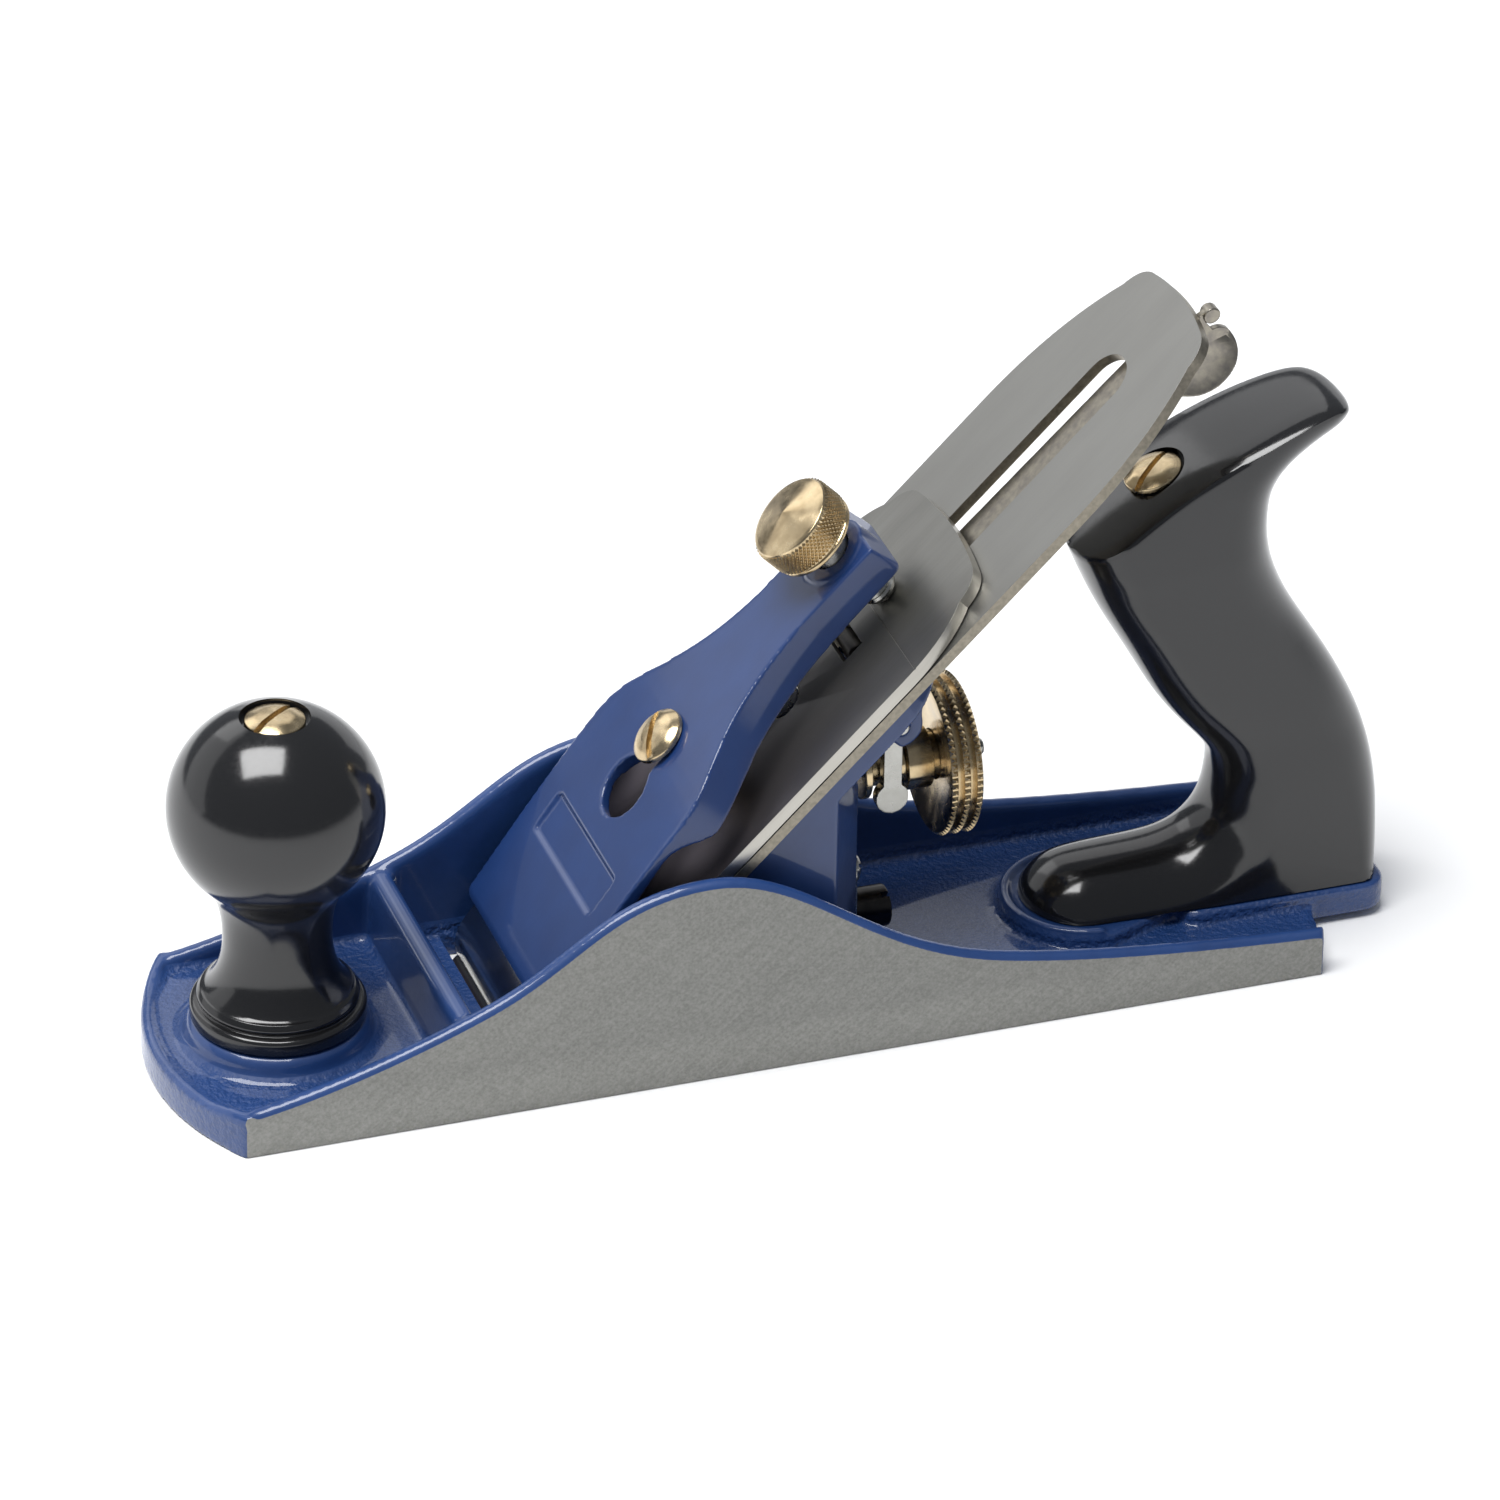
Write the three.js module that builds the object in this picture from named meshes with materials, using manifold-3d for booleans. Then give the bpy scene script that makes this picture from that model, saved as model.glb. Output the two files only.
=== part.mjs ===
// Metal smoothing plane, Bailey pattern, 50 mm cutter. Millimetres, +Z up.
// +X runs from toe to heel and -Y is the user's left. The sole lies on Z = 0 and the origin is
// under the middle of the overall length.
import * as THREE from "three";
import { mergeVertices } from "three/addons/utils/BufferGeometryUtils.js";
import Module from "manifold-3d";

const wasm = await Module();
wasm.setup();

// ---- Driving dimensions ---------------------------------------------------------------------

const gap = 0.3; // clearance between two pieces that seat on, or pass through, each other

// Sole and cheeks
const overallLength = 250;
const soleWidth = 62;
const toeArc = 9.8; // how far the toe bulges past its corners
const heelArc = 5;
const padOverhang = 20.7; // how far the handle pad reaches past the heel corners
const cheekWall = 3.4;
const cheekEdge = 1.1; // rounding of the cheeks' top edges
const cheekHeight = 44;
const toeHeight = 9.2;
const heelHeight = 9.6;
const floor = 4.5;
const toeLip = 2.6; // width of the low rim along the toe
const toeLipHeight = 7.4;
const toeDeckHeight = 6.5; // thick floor under the knob
const toeDeckEnd = 41.8; // behind the toe corners

// Mouth, cross rib and frog seat
const mouthFromToe = 58.4; // cutting edge to the toe corners
const mouthOpening = 1.5; // ahead of the cutting edge
const mouthBehind = 6.4; // behind the cutting edge
const mouthWidth = 54;
const ribWidth = 3.2;
const ribHeight = 10.6;
const ribBeforeMouth = 5.3;
const seatHeight = 8.7;
const seatSetback = 3.9; // the seat ends this far ahead of the frog's back
const seatWidth = 41;

// Bed and irons
const bedAngle = 45;
const ironWidth = 50;
const ironLength = 196.6;
const ironThickness = 2.2;
const ironTopWidth = 35; // across the rounded shoulders
const ironSlot = 11.6;
const bevelAngle = 30;
const capIronLength = 134.6;
const capIronThickness = 2.2;
const capIronLift = 0.6; // spring of the cap iron off the cutting iron
const capIronHump = 5.2;
const capIronSetback = 1.6; // cap iron's edge behind the cutting edge
const capIronScrewDiameter = 8;
const capIronScrewHead = 16;

// Places along the bed, from the cutting edge
const capIronScrewAt = 86;
const yokeHoleAt = 102.9;
const lateralDiscAt = 113.5;
const lateralPivotAt = 121;
const leverCapScrewAt = 65.7;
const thumbscrewAt = 115;

// Frog
const frogWidth = 45;
const frogTopAt = 126; // along the bed
const frogTopWidth = 26;
const frogShoulderAt = 100;
const frogPlate = 5;
const frogWall = 3.6;
const frogSideDepth = 121; // side walls end this far behind the toe corners
const frogBackDepth = 129.6; // centre of the back wall
const frogBackWidth = 20;
const frogScrewFromToe = 88;
const frogScrewSpread = 27;
const frogScrewDiameter = 6;
const frogScrewHead = 11;
const frogTravel = 1; // each way, with its screws loosened
const frogFoot = 5; // thickness under the screws' heads
const frogWasher = 12;
const frogWasherThickness = 1.2;

// Frog's adjusting screw, its rib on the casting and its clip on the frog
const guideRibWidth = 9;
const guideRibLength = 24;
const adjustingScrewHeight = 12.6;
const adjustingScrewThread = 5;
const adjustingScrewHead = 8.4;
const adjustingScrewCollar = 1.5;
const adjustingScrewLength = 16; // its thread, ahead of the collar
const guideRibHeight = adjustingScrewHeight + adjustingScrewHead / 2;
const adjustingScrewEnd = 139.4; // behind the toe corners
const adjustingScrewGroove = 4.6;
const clipThickness = 1.2;
const clipWidth = 13;
const clipTop = 27;
const clipScrewHeight = 22.6;
const clipScrewDiameter = 3;
const clipScrewHead = 6;

// Depth adjuster
const studHeight = 45.3;
const studDiameter = 4.8;
const studEnd = 158.4; // rear end, behind the toe corners
const grooveWidth = 7.4;
const grooveAt = 137.6; // middle of the groove, behind the toe corners
const grooveDiameter = 8.8;
const collarDiameter = 13.2;
const hubLength = 5.3;
const wheelDiameter = 32;
const wheelWidth = 6.4;
const wheelTeeth = 36;

// Yoke
const yokePivotFromToe = 137.6;
const yokePivotHeight = 59.4;
const yokeDiscHeight = 41.2;
const yokeDiscDiameter = 6.8;
const yokeLeg = 2.4;
const yokeNeck = 3.8;
const yokeArm = 4;
const yokeHub = 7.4;
const yokeArmWidth = 8;
const yokeTipAbove = 2; // how far the tip stands above the cutting iron's face
const yokeHoleLength = 5.2;
const yokeHoleWidth = 12;
const yokePinDiameter = 3;

// Lateral lever
const lateralThickness = 1.6;
const lateralWidth = 9;
const lateralDisc = 10.8;
const lateralRivetDiameter = 4.4;
const lateralEnd = 196.4; // end of the lever, along the bed
const lateralTabLength = 17;
const lateralTabDrop = 14;
const lateralTabOffset = 4; // the thumb tab stands this far to the left of the lever's middle
const lateralNib = 3.4;

// Lever cap
const leverCapStart = 12.8; // front edge, along the bed
const leverCapEnd = 122.4;
const leverCapWidth = 48.6;
const leverCapNeck = 18;
const leverCapWall = 2.6;
const leverCapTop = 17.9; // height of its back above the cutting iron
const leverCapLip = 9;
const leverCapSkirt = 9.3;
const leverCapEndLean = 1; // how far its end face leans back from foot to top
const keyholeTravel = 11.7;
const keyholeBig = 13;
const keyholeSlot = 7.4;
const leverCapScrewHead = 11.8;
const leverCapScrewShank = 6.4;

// Thumbscrew
const thumbDiameter = 18.6;
const thumbHeight = 8;
const thumbBase = 23.2; // underside of the head above the cutting iron
const thumbCone = 1.6; // rise of the head's shallow cone
const thumbShank = 8;
const thumbTeeth = 32;

// Front knob
const knobFromToe = 15.7;
const knobBossHeight = 11.3;
const knobBossDiameter = 36;
const knobBase = 34.2;
const knobBallDiameter = 42;
const knobBallHeight = 57.2; // centre of the ball
const knobNeck = 21.2;

// Rear handle
const handlePadHeight = 7.7;
const handlePadWidth = 28;
const handlePadUnder = 1.2; // underside of the overhang
const handlePadCorner = 5;
const handleFromPadEnd = 72.4; // front of the handle's foot to the end of the pad
const handleThickness = 26.6;
const handleTopEdge = 1.3; // rounding of the edge of its flat top
const handleBoltTilt = 20;
const handleBoltFromPadEnd = 14.4;
const handleNutSeat = 98.2; // up the bolt from the pad

// Handle and knob fixings
const boltDiameter = 6;
const nutDiameter = 12.6;
const nutHead = 2.4;
const nutBarrel = 9;
const nutDepth = 15;

const round = 26; // facets of a full circle on large round pieces
const smallRound = 14;

// ---- Derived places -------------------------------------------------------------------------

const toeX = -overallLength / 2 + toeArc;
const padEndX = overallLength / 2;
const heelX = padEndX - padOverhang;
const station = (distance) => toeX + distance;
const edgeX = station(mouthFromToe);
const bedRadians = THREE.MathUtils.degToRad(bedAngle);
const bedFace = -ironThickness - gap; // the frog's face, below the cutting iron's flat face
const cheekInner = soleWidth / 2 - cheekWall;
const frogBackX = station(frogBackDepth);
const leverCapScrewThread = leverCapScrewShank - 1;
const yokeHalfWidth = grooveDiameter / 2 + 0.4 + yokeLeg;
const guideRibSetback = adjustingScrewCollar + frogTravel + 2 * gap;
const knobNutSeat = knobBallHeight + knobBallDiameter / 2 - 1.6;

// Half the length of an oval hole that lets a round piece shift with the frog.
const shiftReach = (diameter) => diameter / 2 + frogTravel + 0.5;

// A point given in X and Z, as distance along the bed and height above the cutting iron's face.
function onBed(x, z) {
  const dx = x - edgeX;
  return new THREE.Vector2(
    dx * Math.cos(bedRadians) + z * Math.sin(bedRadians),
    z * Math.cos(bedRadians) - dx * Math.sin(bedRadians),
  );
}

// The X and Z of a point given along the bed and above the cutting iron's face.
function offBed(along, above) {
  return new THREE.Vector2(
    edgeX + along * Math.cos(bedRadians) - above * Math.sin(bedRadians),
    along * Math.sin(bedRadians) + above * Math.cos(bedRadians),
  );
}

// ---- Solids from three.js geometry ----------------------------------------------------------

function solid(geometry) {
  const bare = geometry.clone();
  bare.deleteAttribute("normal");
  bare.deleteAttribute("uv");
  const merged = mergeVertices(bare, 1e-4);
  return new wasm.Manifold(
    new wasm.Mesh({
      numProp: 3,
      vertProperties: merged.attributes.position.array,
      triVerts: new Uint32Array(merged.index.array),
    }),
  );
}

function toGeometry(made) {
  const mesh = made.getMesh();
  const geometry = new THREE.BufferGeometry();
  geometry.setAttribute("position", new THREE.BufferAttribute(mesh.vertProperties, 3));
  geometry.setIndex(new THREE.BufferAttribute(mesh.triVerts, 1));
  geometry.computeVertexNormals();
  return geometry;
}

function shapeOf(points) {
  return new THREE.Shape(points.map(([x, y]) => new THREE.Vector2(x, y)));
}

// A profile drawn in X and Z, extruded along Y between two planes. The bevel rounds its edges.
function acrossY(shape, from, to, curveSegments = 8, bevel = 0) {
  const geometry = new THREE.ExtrudeGeometry(shape, {
    depth: to - from - 2 * bevel,
    curveSegments,
    bevelEnabled: bevel > 0,
    bevelThickness: bevel,
    bevelSize: bevel,
    bevelOffset: -bevel,
    bevelSegments: 2,
  });
  return geometry.rotateX(Math.PI / 2).translate(0, to - bevel, 0);
}

// A profile drawn in X and Y, extruded along Z between two heights.
function alongZ(shape, from, to, curveSegments = 8) {
  const geometry = new THREE.ExtrudeGeometry(shape, {
    depth: to - from,
    curveSegments,
    bevelEnabled: false,
  });
  return geometry.translate(0, 0, from);
}

// A profile of radius and height, turned about the Z axis.
function turned(points, facets = smallRound) {
  const profile = points.map(([radius, height]) => new THREE.Vector2(radius, height));
  return new THREE.LatheGeometry(profile, facets).rotateX(Math.PI / 2);
}

function rod(diameter, from, to, facets = smallRound) {
  const radius = diameter / 2;
  return turned([[0, from], [radius, from], [radius, to], [0, to]], facets);
}

function block(x0, x1, y0, y1, z0, z1) {
  return new THREE.BoxGeometry(x1 - x0, y1 - y0, z1 - z0)
    .translate((x0 + x1) / 2, (y0 + y1) / 2, (z0 + z1) / 2);
}

// A slot with round ends, drawn in X and Y.
function slotShape(from, to, width) {
  const radius = width / 2;
  const shape = new THREE.Shape();
  shape.absarc(to - radius, 0, radius, -Math.PI / 2, Math.PI / 2, false);
  shape.absarc(from + radius, 0, radius, Math.PI / 2, (3 * Math.PI) / 2, false);
  return shape;
}

// A knurled disc outline: a ring of V-shaped teeth.
function toothedShape(diameter, depth, teeth) {
  const points = [];
  for (let i = 0; i < 2 * teeth; i++) {
    const radius = diameter / 2 - (i % 2 ? depth : 0);
    const angle = (i * Math.PI) / teeth;
    points.push([radius * Math.cos(angle), radius * Math.sin(angle)]);
  }
  return shapeOf(points);
}

// A closed skin over rings of equally many points, with flat ends.
function lofted(rings) {
  const count = rings[0].length;
  const positions = rings.flat().flatMap((point) => point.toArray());
  const index = [];
  for (let r = 0; r < rings.length - 1; r++) {
    for (let i = 0; i < count; i++) {
      const a = r * count + i;
      const b = r * count + ((i + 1) % count);
      index.push(a, b, b + count, a, b + count, a + count);
    }
  }
  const last = (rings.length - 1) * count;
  for (let i = 1; i < count - 1; i++) {
    index.push(0, i + 1, i);
    index.push(last, last + i, last + i + 1);
  }
  const geometry = new THREE.BufferGeometry();
  geometry.setAttribute("position", new THREE.Float32BufferAttribute(positions, 3));
  geometry.setIndex(index);
  return geometry;
}

// ---- Materials ------------------------------------------------------------------------------

const enamel = { color: 0x2b4f9a, roughness: 0.35, metalness: 0 };
const brightSteel = { color: 0x9c9b96, roughness: 0.35, metalness: 1 };
const brass = { color: 0xb89560, roughness: 0.3, metalness: 1 };
const blackPlastic = { color: 0x1c1c1e, roughness: 0.3, metalness: 0 };

function addPiece(parent, name, made, material) {
  const mesh = new THREE.Mesh(toGeometry(made), new THREE.MeshStandardMaterial(material));
  mesh.name = name;
  parent.add(mesh);
  return mesh;
}

// ---- Body casting ---------------------------------------------------------------------------

// Plan of the sole: straight sides, with an arc across the toe and a flatter one across the heel.
function solePlan(inset = 0) {
  const half = soleWidth / 2 - inset;
  const toe = toeArcCircle();
  const heelRadius = (soleWidth ** 2 / 4 + heelArc ** 2) / (2 * heelArc) - inset;
  const heelCentre = heelX + heelArc - heelRadius - inset;
  const toeRadius = toe.radius - inset;
  const toeAngle = Math.asin(half / toeRadius);
  const heelAngle = Math.asin(half / heelRadius);
  const shape = new THREE.Shape();
  shape.absarc(toe.centre, 0, toeRadius, Math.PI - toeAngle, Math.PI + toeAngle, false);
  shape.absarc(heelCentre, 0, heelRadius, -heelAngle, heelAngle, false);
  return shape;
}

// The toe's rim seen from the front: low across the middle, it climbs at each corner to meet the
// cheek. Extruded along X.
function toeRimFront() {
  const half = soleWidth / 2;
  const climb = cheekWall + 9;
  const shape = new THREE.Shape();
  shape.moveTo(-half, 1);
  shape.lineTo(half, 1);
  shape.lineTo(half, toeHeight);
  shape.bezierCurveTo(
    half - 0.5 * climb, toeHeight, half - 0.6 * climb, toeLipHeight, half - climb, toeLipHeight,
  );
  shape.lineTo(climb - half, toeLipHeight);
  shape.bezierCurveTo(
    0.6 * climb - half, toeLipHeight, 0.5 * climb - half, toeHeight, -half, toeHeight,
  );
  const depth = toeArc + 13;
  return new THREE.ExtrudeGeometry(shape, { depth, curveSegments: 6, bevelEnabled: false })
    .rotateX(Math.PI / 2).rotateZ(Math.PI / 2).translate(toeX - toeArc - 1, 0, 0);
}

function toeArcCircle() {
  const radius = (soleWidth ** 2 / 4 + toeArc ** 2) / (2 * toeArc);
  return { radius, centre: toeX - toeArc + radius };
}

// Side outline of a cheek: it climbs from the toe to a hump beside the mouth and sweeps down to
// the heel.
function cheekOutline() {
  const peak = station(mouthFromToe + 34.6);
  const shape = new THREE.Shape();
  const low = -2;
  const heelEnd = heelX + heelArc + 1;
  const toeEnd = toeX - toeArc - 1;
  shape.moveTo(toeEnd, low);
  shape.lineTo(heelEnd, low);
  shape.lineTo(heelEnd, heelHeight);
  shape.lineTo(heelX, heelHeight);
  const waist = station(mouthFromToe + 91.6);
  const waistHeight = heelHeight + 7.9;
  const run = heelX - waist;
  shape.bezierCurveTo(
    heelX - 0.36 * run, heelHeight + 1.4,
    waist + 0.26 * run, waistHeight - 4.3,
    waist, waistHeight,
  );
  shape.bezierCurveTo(waist - 26, waistHeight + 6.5, peak + 19, cheekHeight, peak, cheekHeight);
  const knee = station(mouthFromToe - 10.4);
  const kneeHeight = toeHeight + 13.3;
  shape.bezierCurveTo(peak - 21, cheekHeight, knee + 18, kneeHeight + 7.5, knee, kneeHeight);
  shape.bezierCurveTo(knee - 14, kneeHeight - 5.5, toeX + 16, toeHeight + 2.3, toeX, toeHeight);
  shape.lineTo(toeEnd, toeHeight);
  return shape;
}

function handlePadPlan() {
  const half = handlePadWidth / 2;
  const front = padEndX - handleFromPadEnd - 1 - gap - toeLip;
  const corner = handlePadCorner;
  const shape = new THREE.Shape();
  shape.absarc(front + half + toeLip, 0, half + toeLip, Math.PI / 2, (3 * Math.PI) / 2, false);
  shape.lineTo(front + half + toeLip + 16, -half);
  shape.absarc(padEndX - corner, corner - half, corner, -Math.PI / 2, 0, false);
  shape.absarc(padEndX - corner, half - corner, corner, 0, Math.PI / 2, false);
  shape.lineTo(front + half + toeLip + 16, half);
  return shape;
}

function bodyCasting() {
  const plan = solid(alongZ(solePlan(), 0, cheekHeight + 5, 10));
  const cheeks = [-1, 1].map((side) => {
    const inner = side * cheekInner;
    const outer = side * (soleWidth / 2);
    const geometry = acrossY(cheekOutline(), Math.min(inner, outer), Math.max(inner, outer), 9, cheekEdge);
    return solid(geometry);
  });
  const rim = solid(toeRimFront())
    .subtract(solid(alongZ(solePlan(toeLip), -1, toeHeight + 1, 10)));
  // A thick deck under the knob, which steps down to the floor before the rib.
  const deckX = station(toeDeckEnd);
  const deckShape = shapeOf([
    [toeX - toeArc - 1, 1], [deckX + 1, 1], [deckX + 0.8, floor], [deckX, toeDeckHeight - 0.5],
    [deckX - 0.8, toeDeckHeight], [toeX - toeArc - 1, toeDeckHeight],
  ]);
  const deck = solid(acrossY(deckShape, -cheekInner - 1, cheekInner + 1));
  const ribBack = edgeX - ribBeforeMouth;
  const ribShape = new THREE.Shape();
  ribShape.moveTo(ribBack - ribWidth - 1.2, 1);
  ribShape.lineTo(ribBack, 1);
  ribShape.absarc(ribBack - ribWidth / 2, ribHeight - ribWidth / 2, ribWidth / 2, 0, Math.PI, false);
  const rib = solid(acrossY(ribShape, -cheekInner - 1, cheekInner + 1, 6));
  const bossRadius = knobBossDiameter / 2;
  const boss = solid(turned(
    [[0, 1], [bossRadius + 2.4, 1], [bossRadius + 2.4, toeDeckHeight],
      [bossRadius + 0.9, toeDeckHeight + 0.6], [bossRadius + 0.2, toeDeckHeight + 2],
      [bossRadius, knobBossHeight - 0.8], [bossRadius - 0.8, knobBossHeight],
      [0, knobBossHeight]],
    round,
  ).translate(station(knobFromToe), 0, 0));
  // The frog's seat rises behind the mouth in a ramp parallel to the bed.
  const rampFoot = offBed(0, bedFace - gap);
  const rampStart = rampFoot.x - rampFoot.y / Math.tan(bedRadians);
  const seatShape = shapeOf([
    [rampStart + 1 / Math.tan(bedRadians), 1],
    [rampStart + seatHeight / Math.tan(bedRadians), seatHeight],
    [frogBackX - seatSetback, seatHeight],
    [frogBackX - seatSetback + 2, 1],
  ]);
  const seat = solid(acrossY(seatShape, -seatWidth / 2, seatWidth / 2));
  // A rib behind the seat guides the frog and takes its adjusting screw.
  const guideEnd = frogBackX - guideRibSetback;
  const guideRib = solid(block(
    guideEnd - guideRibLength, guideEnd, -guideRibWidth / 2, guideRibWidth / 2, 1, guideRibHeight,
  ));
  const base = solid(alongZ(solePlan(), 0, floor, 10));
  let body = base.add(rim).add(deck).add(rib).add(boss).add(seat).add(guideRib);
  for (const cheek of cheeks) body = body.add(cheek);
  body = body.intersect(plan);

  // The handle pad: a flat table with a lip round the handle's toe. It overhangs the heel.
  const pad = solid(alongZ(handlePadPlan(), handlePadUnder, handlePadHeight, 10));
  const half = handlePadWidth / 2;
  const noseX = padEndX - handleFromPadEnd + half - 1;
  const lip = solid(turned(
    [[half + gap, handlePadHeight - 1], [half + gap + 2.4, handlePadHeight - 1],
      [half + gap + 1.9, handlePadHeight + 1.3], [half + gap + 0.5, handlePadHeight + 1.3],
      [half + gap, handlePadHeight - 1]],
    round,
  ).translate(noseX, 0, 0)).intersect(solid(block(noseX - 30, noseX - 2, -30, 30, 0, 20)));
  body = body.add(pad).add(lip);

  // Mouth: a slot through the sole, its back sloped like the bed so that the iron clears it.
  const mouthBack = edgeX + mouthBehind;
  const rise = floor + 6;
  const mouthShape = shapeOf([
    [edgeX - mouthOpening, -1],
    [mouthBack, -1],
    [mouthBack, 0.8],
    [mouthBack + rise / Math.tan(bedRadians), 0.8 + rise],
    [edgeX - mouthOpening - 0.6, 0.8 + rise],
    [edgeX - mouthOpening - 0.6, 1.6],
    [edgeX - mouthOpening, 0.8],
  ]);
  body = body.subtract(solid(acrossY(mouthShape, -mouthWidth / 2, mouthWidth / 2)));

  // Threaded holes for the frog's adjusting screw, the knob's stud, the handle's stud and the two
  // frog screws.
  const screwBore = rod(adjustingScrewThread + 2 * gap, guideEnd - adjustingScrewLength - 1, guideEnd + 1);
  body = body.subtract(solid(alongX(screwBore).translate(0, 0, adjustingScrewHeight)));
  const tapping = boltDiameter + 2 * gap;
  body = body.subtract(solid(rod(tapping, 3, 20).translate(station(knobFromToe), 0, 0)));
  body = body.subtract(solid(handleBolt(tapping, -4.4, 40)));
  for (const side of [-1, 1]) {
    const hole = rod(frogScrewDiameter + 2 * gap, 2, 20);
    body = body.subtract(solid(hole.translate(station(frogScrewFromToe), (side * frogScrewSpread) / 2, 0)));
  }
  return body;
}

// ---- Handles --------------------------------------------------------------------------------

// The handle's bolt leans towards the toe as it rises. Distances run up from the pad's face.
const handleBoltFoot = padEndX - handleBoltFromPadEnd;

function tilted(geometry) {
  return geometry
    .rotateY(-THREE.MathUtils.degToRad(handleBoltTilt))
    .translate(handleBoltFoot, 0, handlePadHeight);
}

function handleBolt(diameter, from, to) {
  return tilted(rod(diameter, from, to));
}

// Front knob: a ball on a waisted neck that meets it in a crease, over a beaded, grooved base.
function frontKnob() {
  const bottom = knobBossHeight + gap;
  const base = knobBase / 2;
  const neck = knobNeck / 2;
  const ball = knobBallDiameter / 2;
  const neckHeight = bottom + 17;
  const profile = [
    [0, bottom], [base - 0.8, bottom], [base, bottom + 0.9], [base, bottom + 2.4],
    [base - 0.9, bottom + 3.3], [base - 1.9, bottom + 3.5], [base - 1.4, bottom + 4.6],
    [base - 2, bottom + 5.6],
  ];
  const flare = new THREE.CubicBezierCurve(
    new THREE.Vector2(base - 2.8, bottom + 6),
    new THREE.Vector2(base - 5, bottom + 8),
    new THREE.Vector2(neck, bottom + 12),
    new THREE.Vector2(neck, neckHeight),
  );
  const joinAngle = THREE.MathUtils.degToRad(-46);
  const join = new THREE.Vector2(
    ball * Math.cos(joinAngle),
    knobBallHeight + ball * Math.sin(joinAngle),
  );
  const swell = new THREE.CubicBezierCurve(
    new THREE.Vector2(neck, neckHeight),
    new THREE.Vector2(neck, neckHeight + 6),
    new THREE.Vector2(join.x - 2.9, join.y - 2.8),
    join,
  );
  const add = (curve, steps) =>
    curve.getPoints(steps).slice(1).forEach((p) => profile.push([p.x, p.y]));
  profile.push([base - 2.8, bottom + 6]);
  add(flare, 5);
  add(swell, 3);
  const seat = nutDiameter / 2 + 1.2;
  const topAngle = Math.acos(seat / ball);
  const steps = 9;
  for (let i = 1; i <= steps; i++) {
    const angle = joinAngle + ((topAngle - joinAngle) * i) / steps;
    profile.push([ball * Math.cos(angle), knobBallHeight + ball * Math.sin(angle)]);
  }
  profile.push([nutDiameter / 2 + gap, knobNutSeat], [0, knobNutSeat]);
  let knob = solid(turned(profile, round));
  knob = knob.subtract(solid(rod(boltDiameter + 2 * gap, 0, 100)));
  return knob.subtract(solid(rod(nutBarrel + 2 * gap, knobNutSeat - nutDepth - gap, 100)));
}

// A slotted barrel nut with its head's underside at height 0.
function barrelNut() {
  const head = nutDiameter / 2;
  const barrel = nutBarrel / 2;
  let nut = solid(turned([
    [0, -nutDepth], [barrel, -nutDepth], [barrel, 0], [head, 0], [head, nutHead - 0.9],
    [head - 0.9, nutHead - 0.1], [head * 0.5, nutHead + 0.25], [0, nutHead + 0.35],
  ], 20));
  nut = nut.subtract(solid(rod(boltDiameter + 2 * gap, -nutDepth - 1, -4)));
  const slot = new THREE.BoxGeometry(nutDiameter + 2, 1.3, 3).rotateZ(0.65);
  return nut.subtract(solid(slot.translate(0, 0, nutHead + 0.4)));
}

// Rear handle, as sections across it: upright in the toe, fanned out over the foot, level in the
// grip and upright again in the horn. X is taken from the pad's end and Z from the pad's face.
const handleSections = [
  // front edge X and Z, back edge X and Z, share of full thickness, front and back rounding
  [-72.4, 0, -72.4, 0, 1, 13, 0],
  [-72.35, 1.6, -71.9, 0, 1, 13, 0],
  [-71.5, 3.7, -70.2, 0, 1, 13, 0],
  [-69.2, 6, -67.2, 0, 1, 13, 0],
  [-66.6, 7.8, -63.6, 0, 1, 13, 0],
  [-63, 9.1, -58.5, 0, 1, 13, 0],
  [-56, 9.5, -49, 0, 1, 13, 0],
  [-49, 9.7, -36, 0, 1, 13, 0],
  [-43, 10.1, -22, 0, 1, 13, 0],
  [-39, 11.6, -8, 0, 1, 12.5, 3],
  [-36.2, 14.2, 0, 0, 0.99, 12, 6],
  [-34.4, 18, 0.3, 5, 0.98, 11, 7],
  [-33.8, 22, 0.3, 12, 0.97, 10, 8],
  [-33.6, 25.5, 0, 19, 0.96, 9.5, 9],
  [-34.4, 29, -1.2, 26, 0.95, 9, 10],
  [-37.7, 33.2, -3.4, 33.6, 0.94, 9, 11],
  [-42.4, 38.2, -7, 41, 0.94, 9, 11],
  [-47.7, 45.2, -11, 48.6, 0.94, 9, 11],
  [-53.1, 55.8, -16.6, 57, 0.95, 9, 11],
  [-58.7, 64.3, -21.2, 64.6, 0.96, 9, 11],
  [-62, 71.8, -24.1, 72, 0.98, 10, 11],
  [-63.9, 76, -25.2, 77.5, 1, 10, 11],
  [-65.2, 79.2, -25.4, 81.5, 1, 10, 11],
  [-61, 83, -25.2, 85, 1, 10, 11],
  [-55.1, 88, -24.9, 88, 1, 10, 11],
  [-43.9, 95.6, -23.5, 91, 1, 10, 11],
  [-33.8, 100.3, -21.7, 93.2, 0.97, 10, 10],
  [-25.9, 103.5, -18.9, 95.5, 0.92, 10, 9],
  [-19, 105.6, -14.9, 98, 0.85, 10, 8],
  [-14.6, 106.3, -12, 99.3, 0.82, 10, 7],
  [-10.2, 105.2, -9.6, 101.1, 0.8, 10, 6],
  [-8.8, 102.2, -8.8, 102.2, 0.8, 10, 6],
];
const handleHeel = 10; // the section that ends at the foot's back corner
const handleCorner = 22; // the section that starts at the front corner of the flat top

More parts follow.
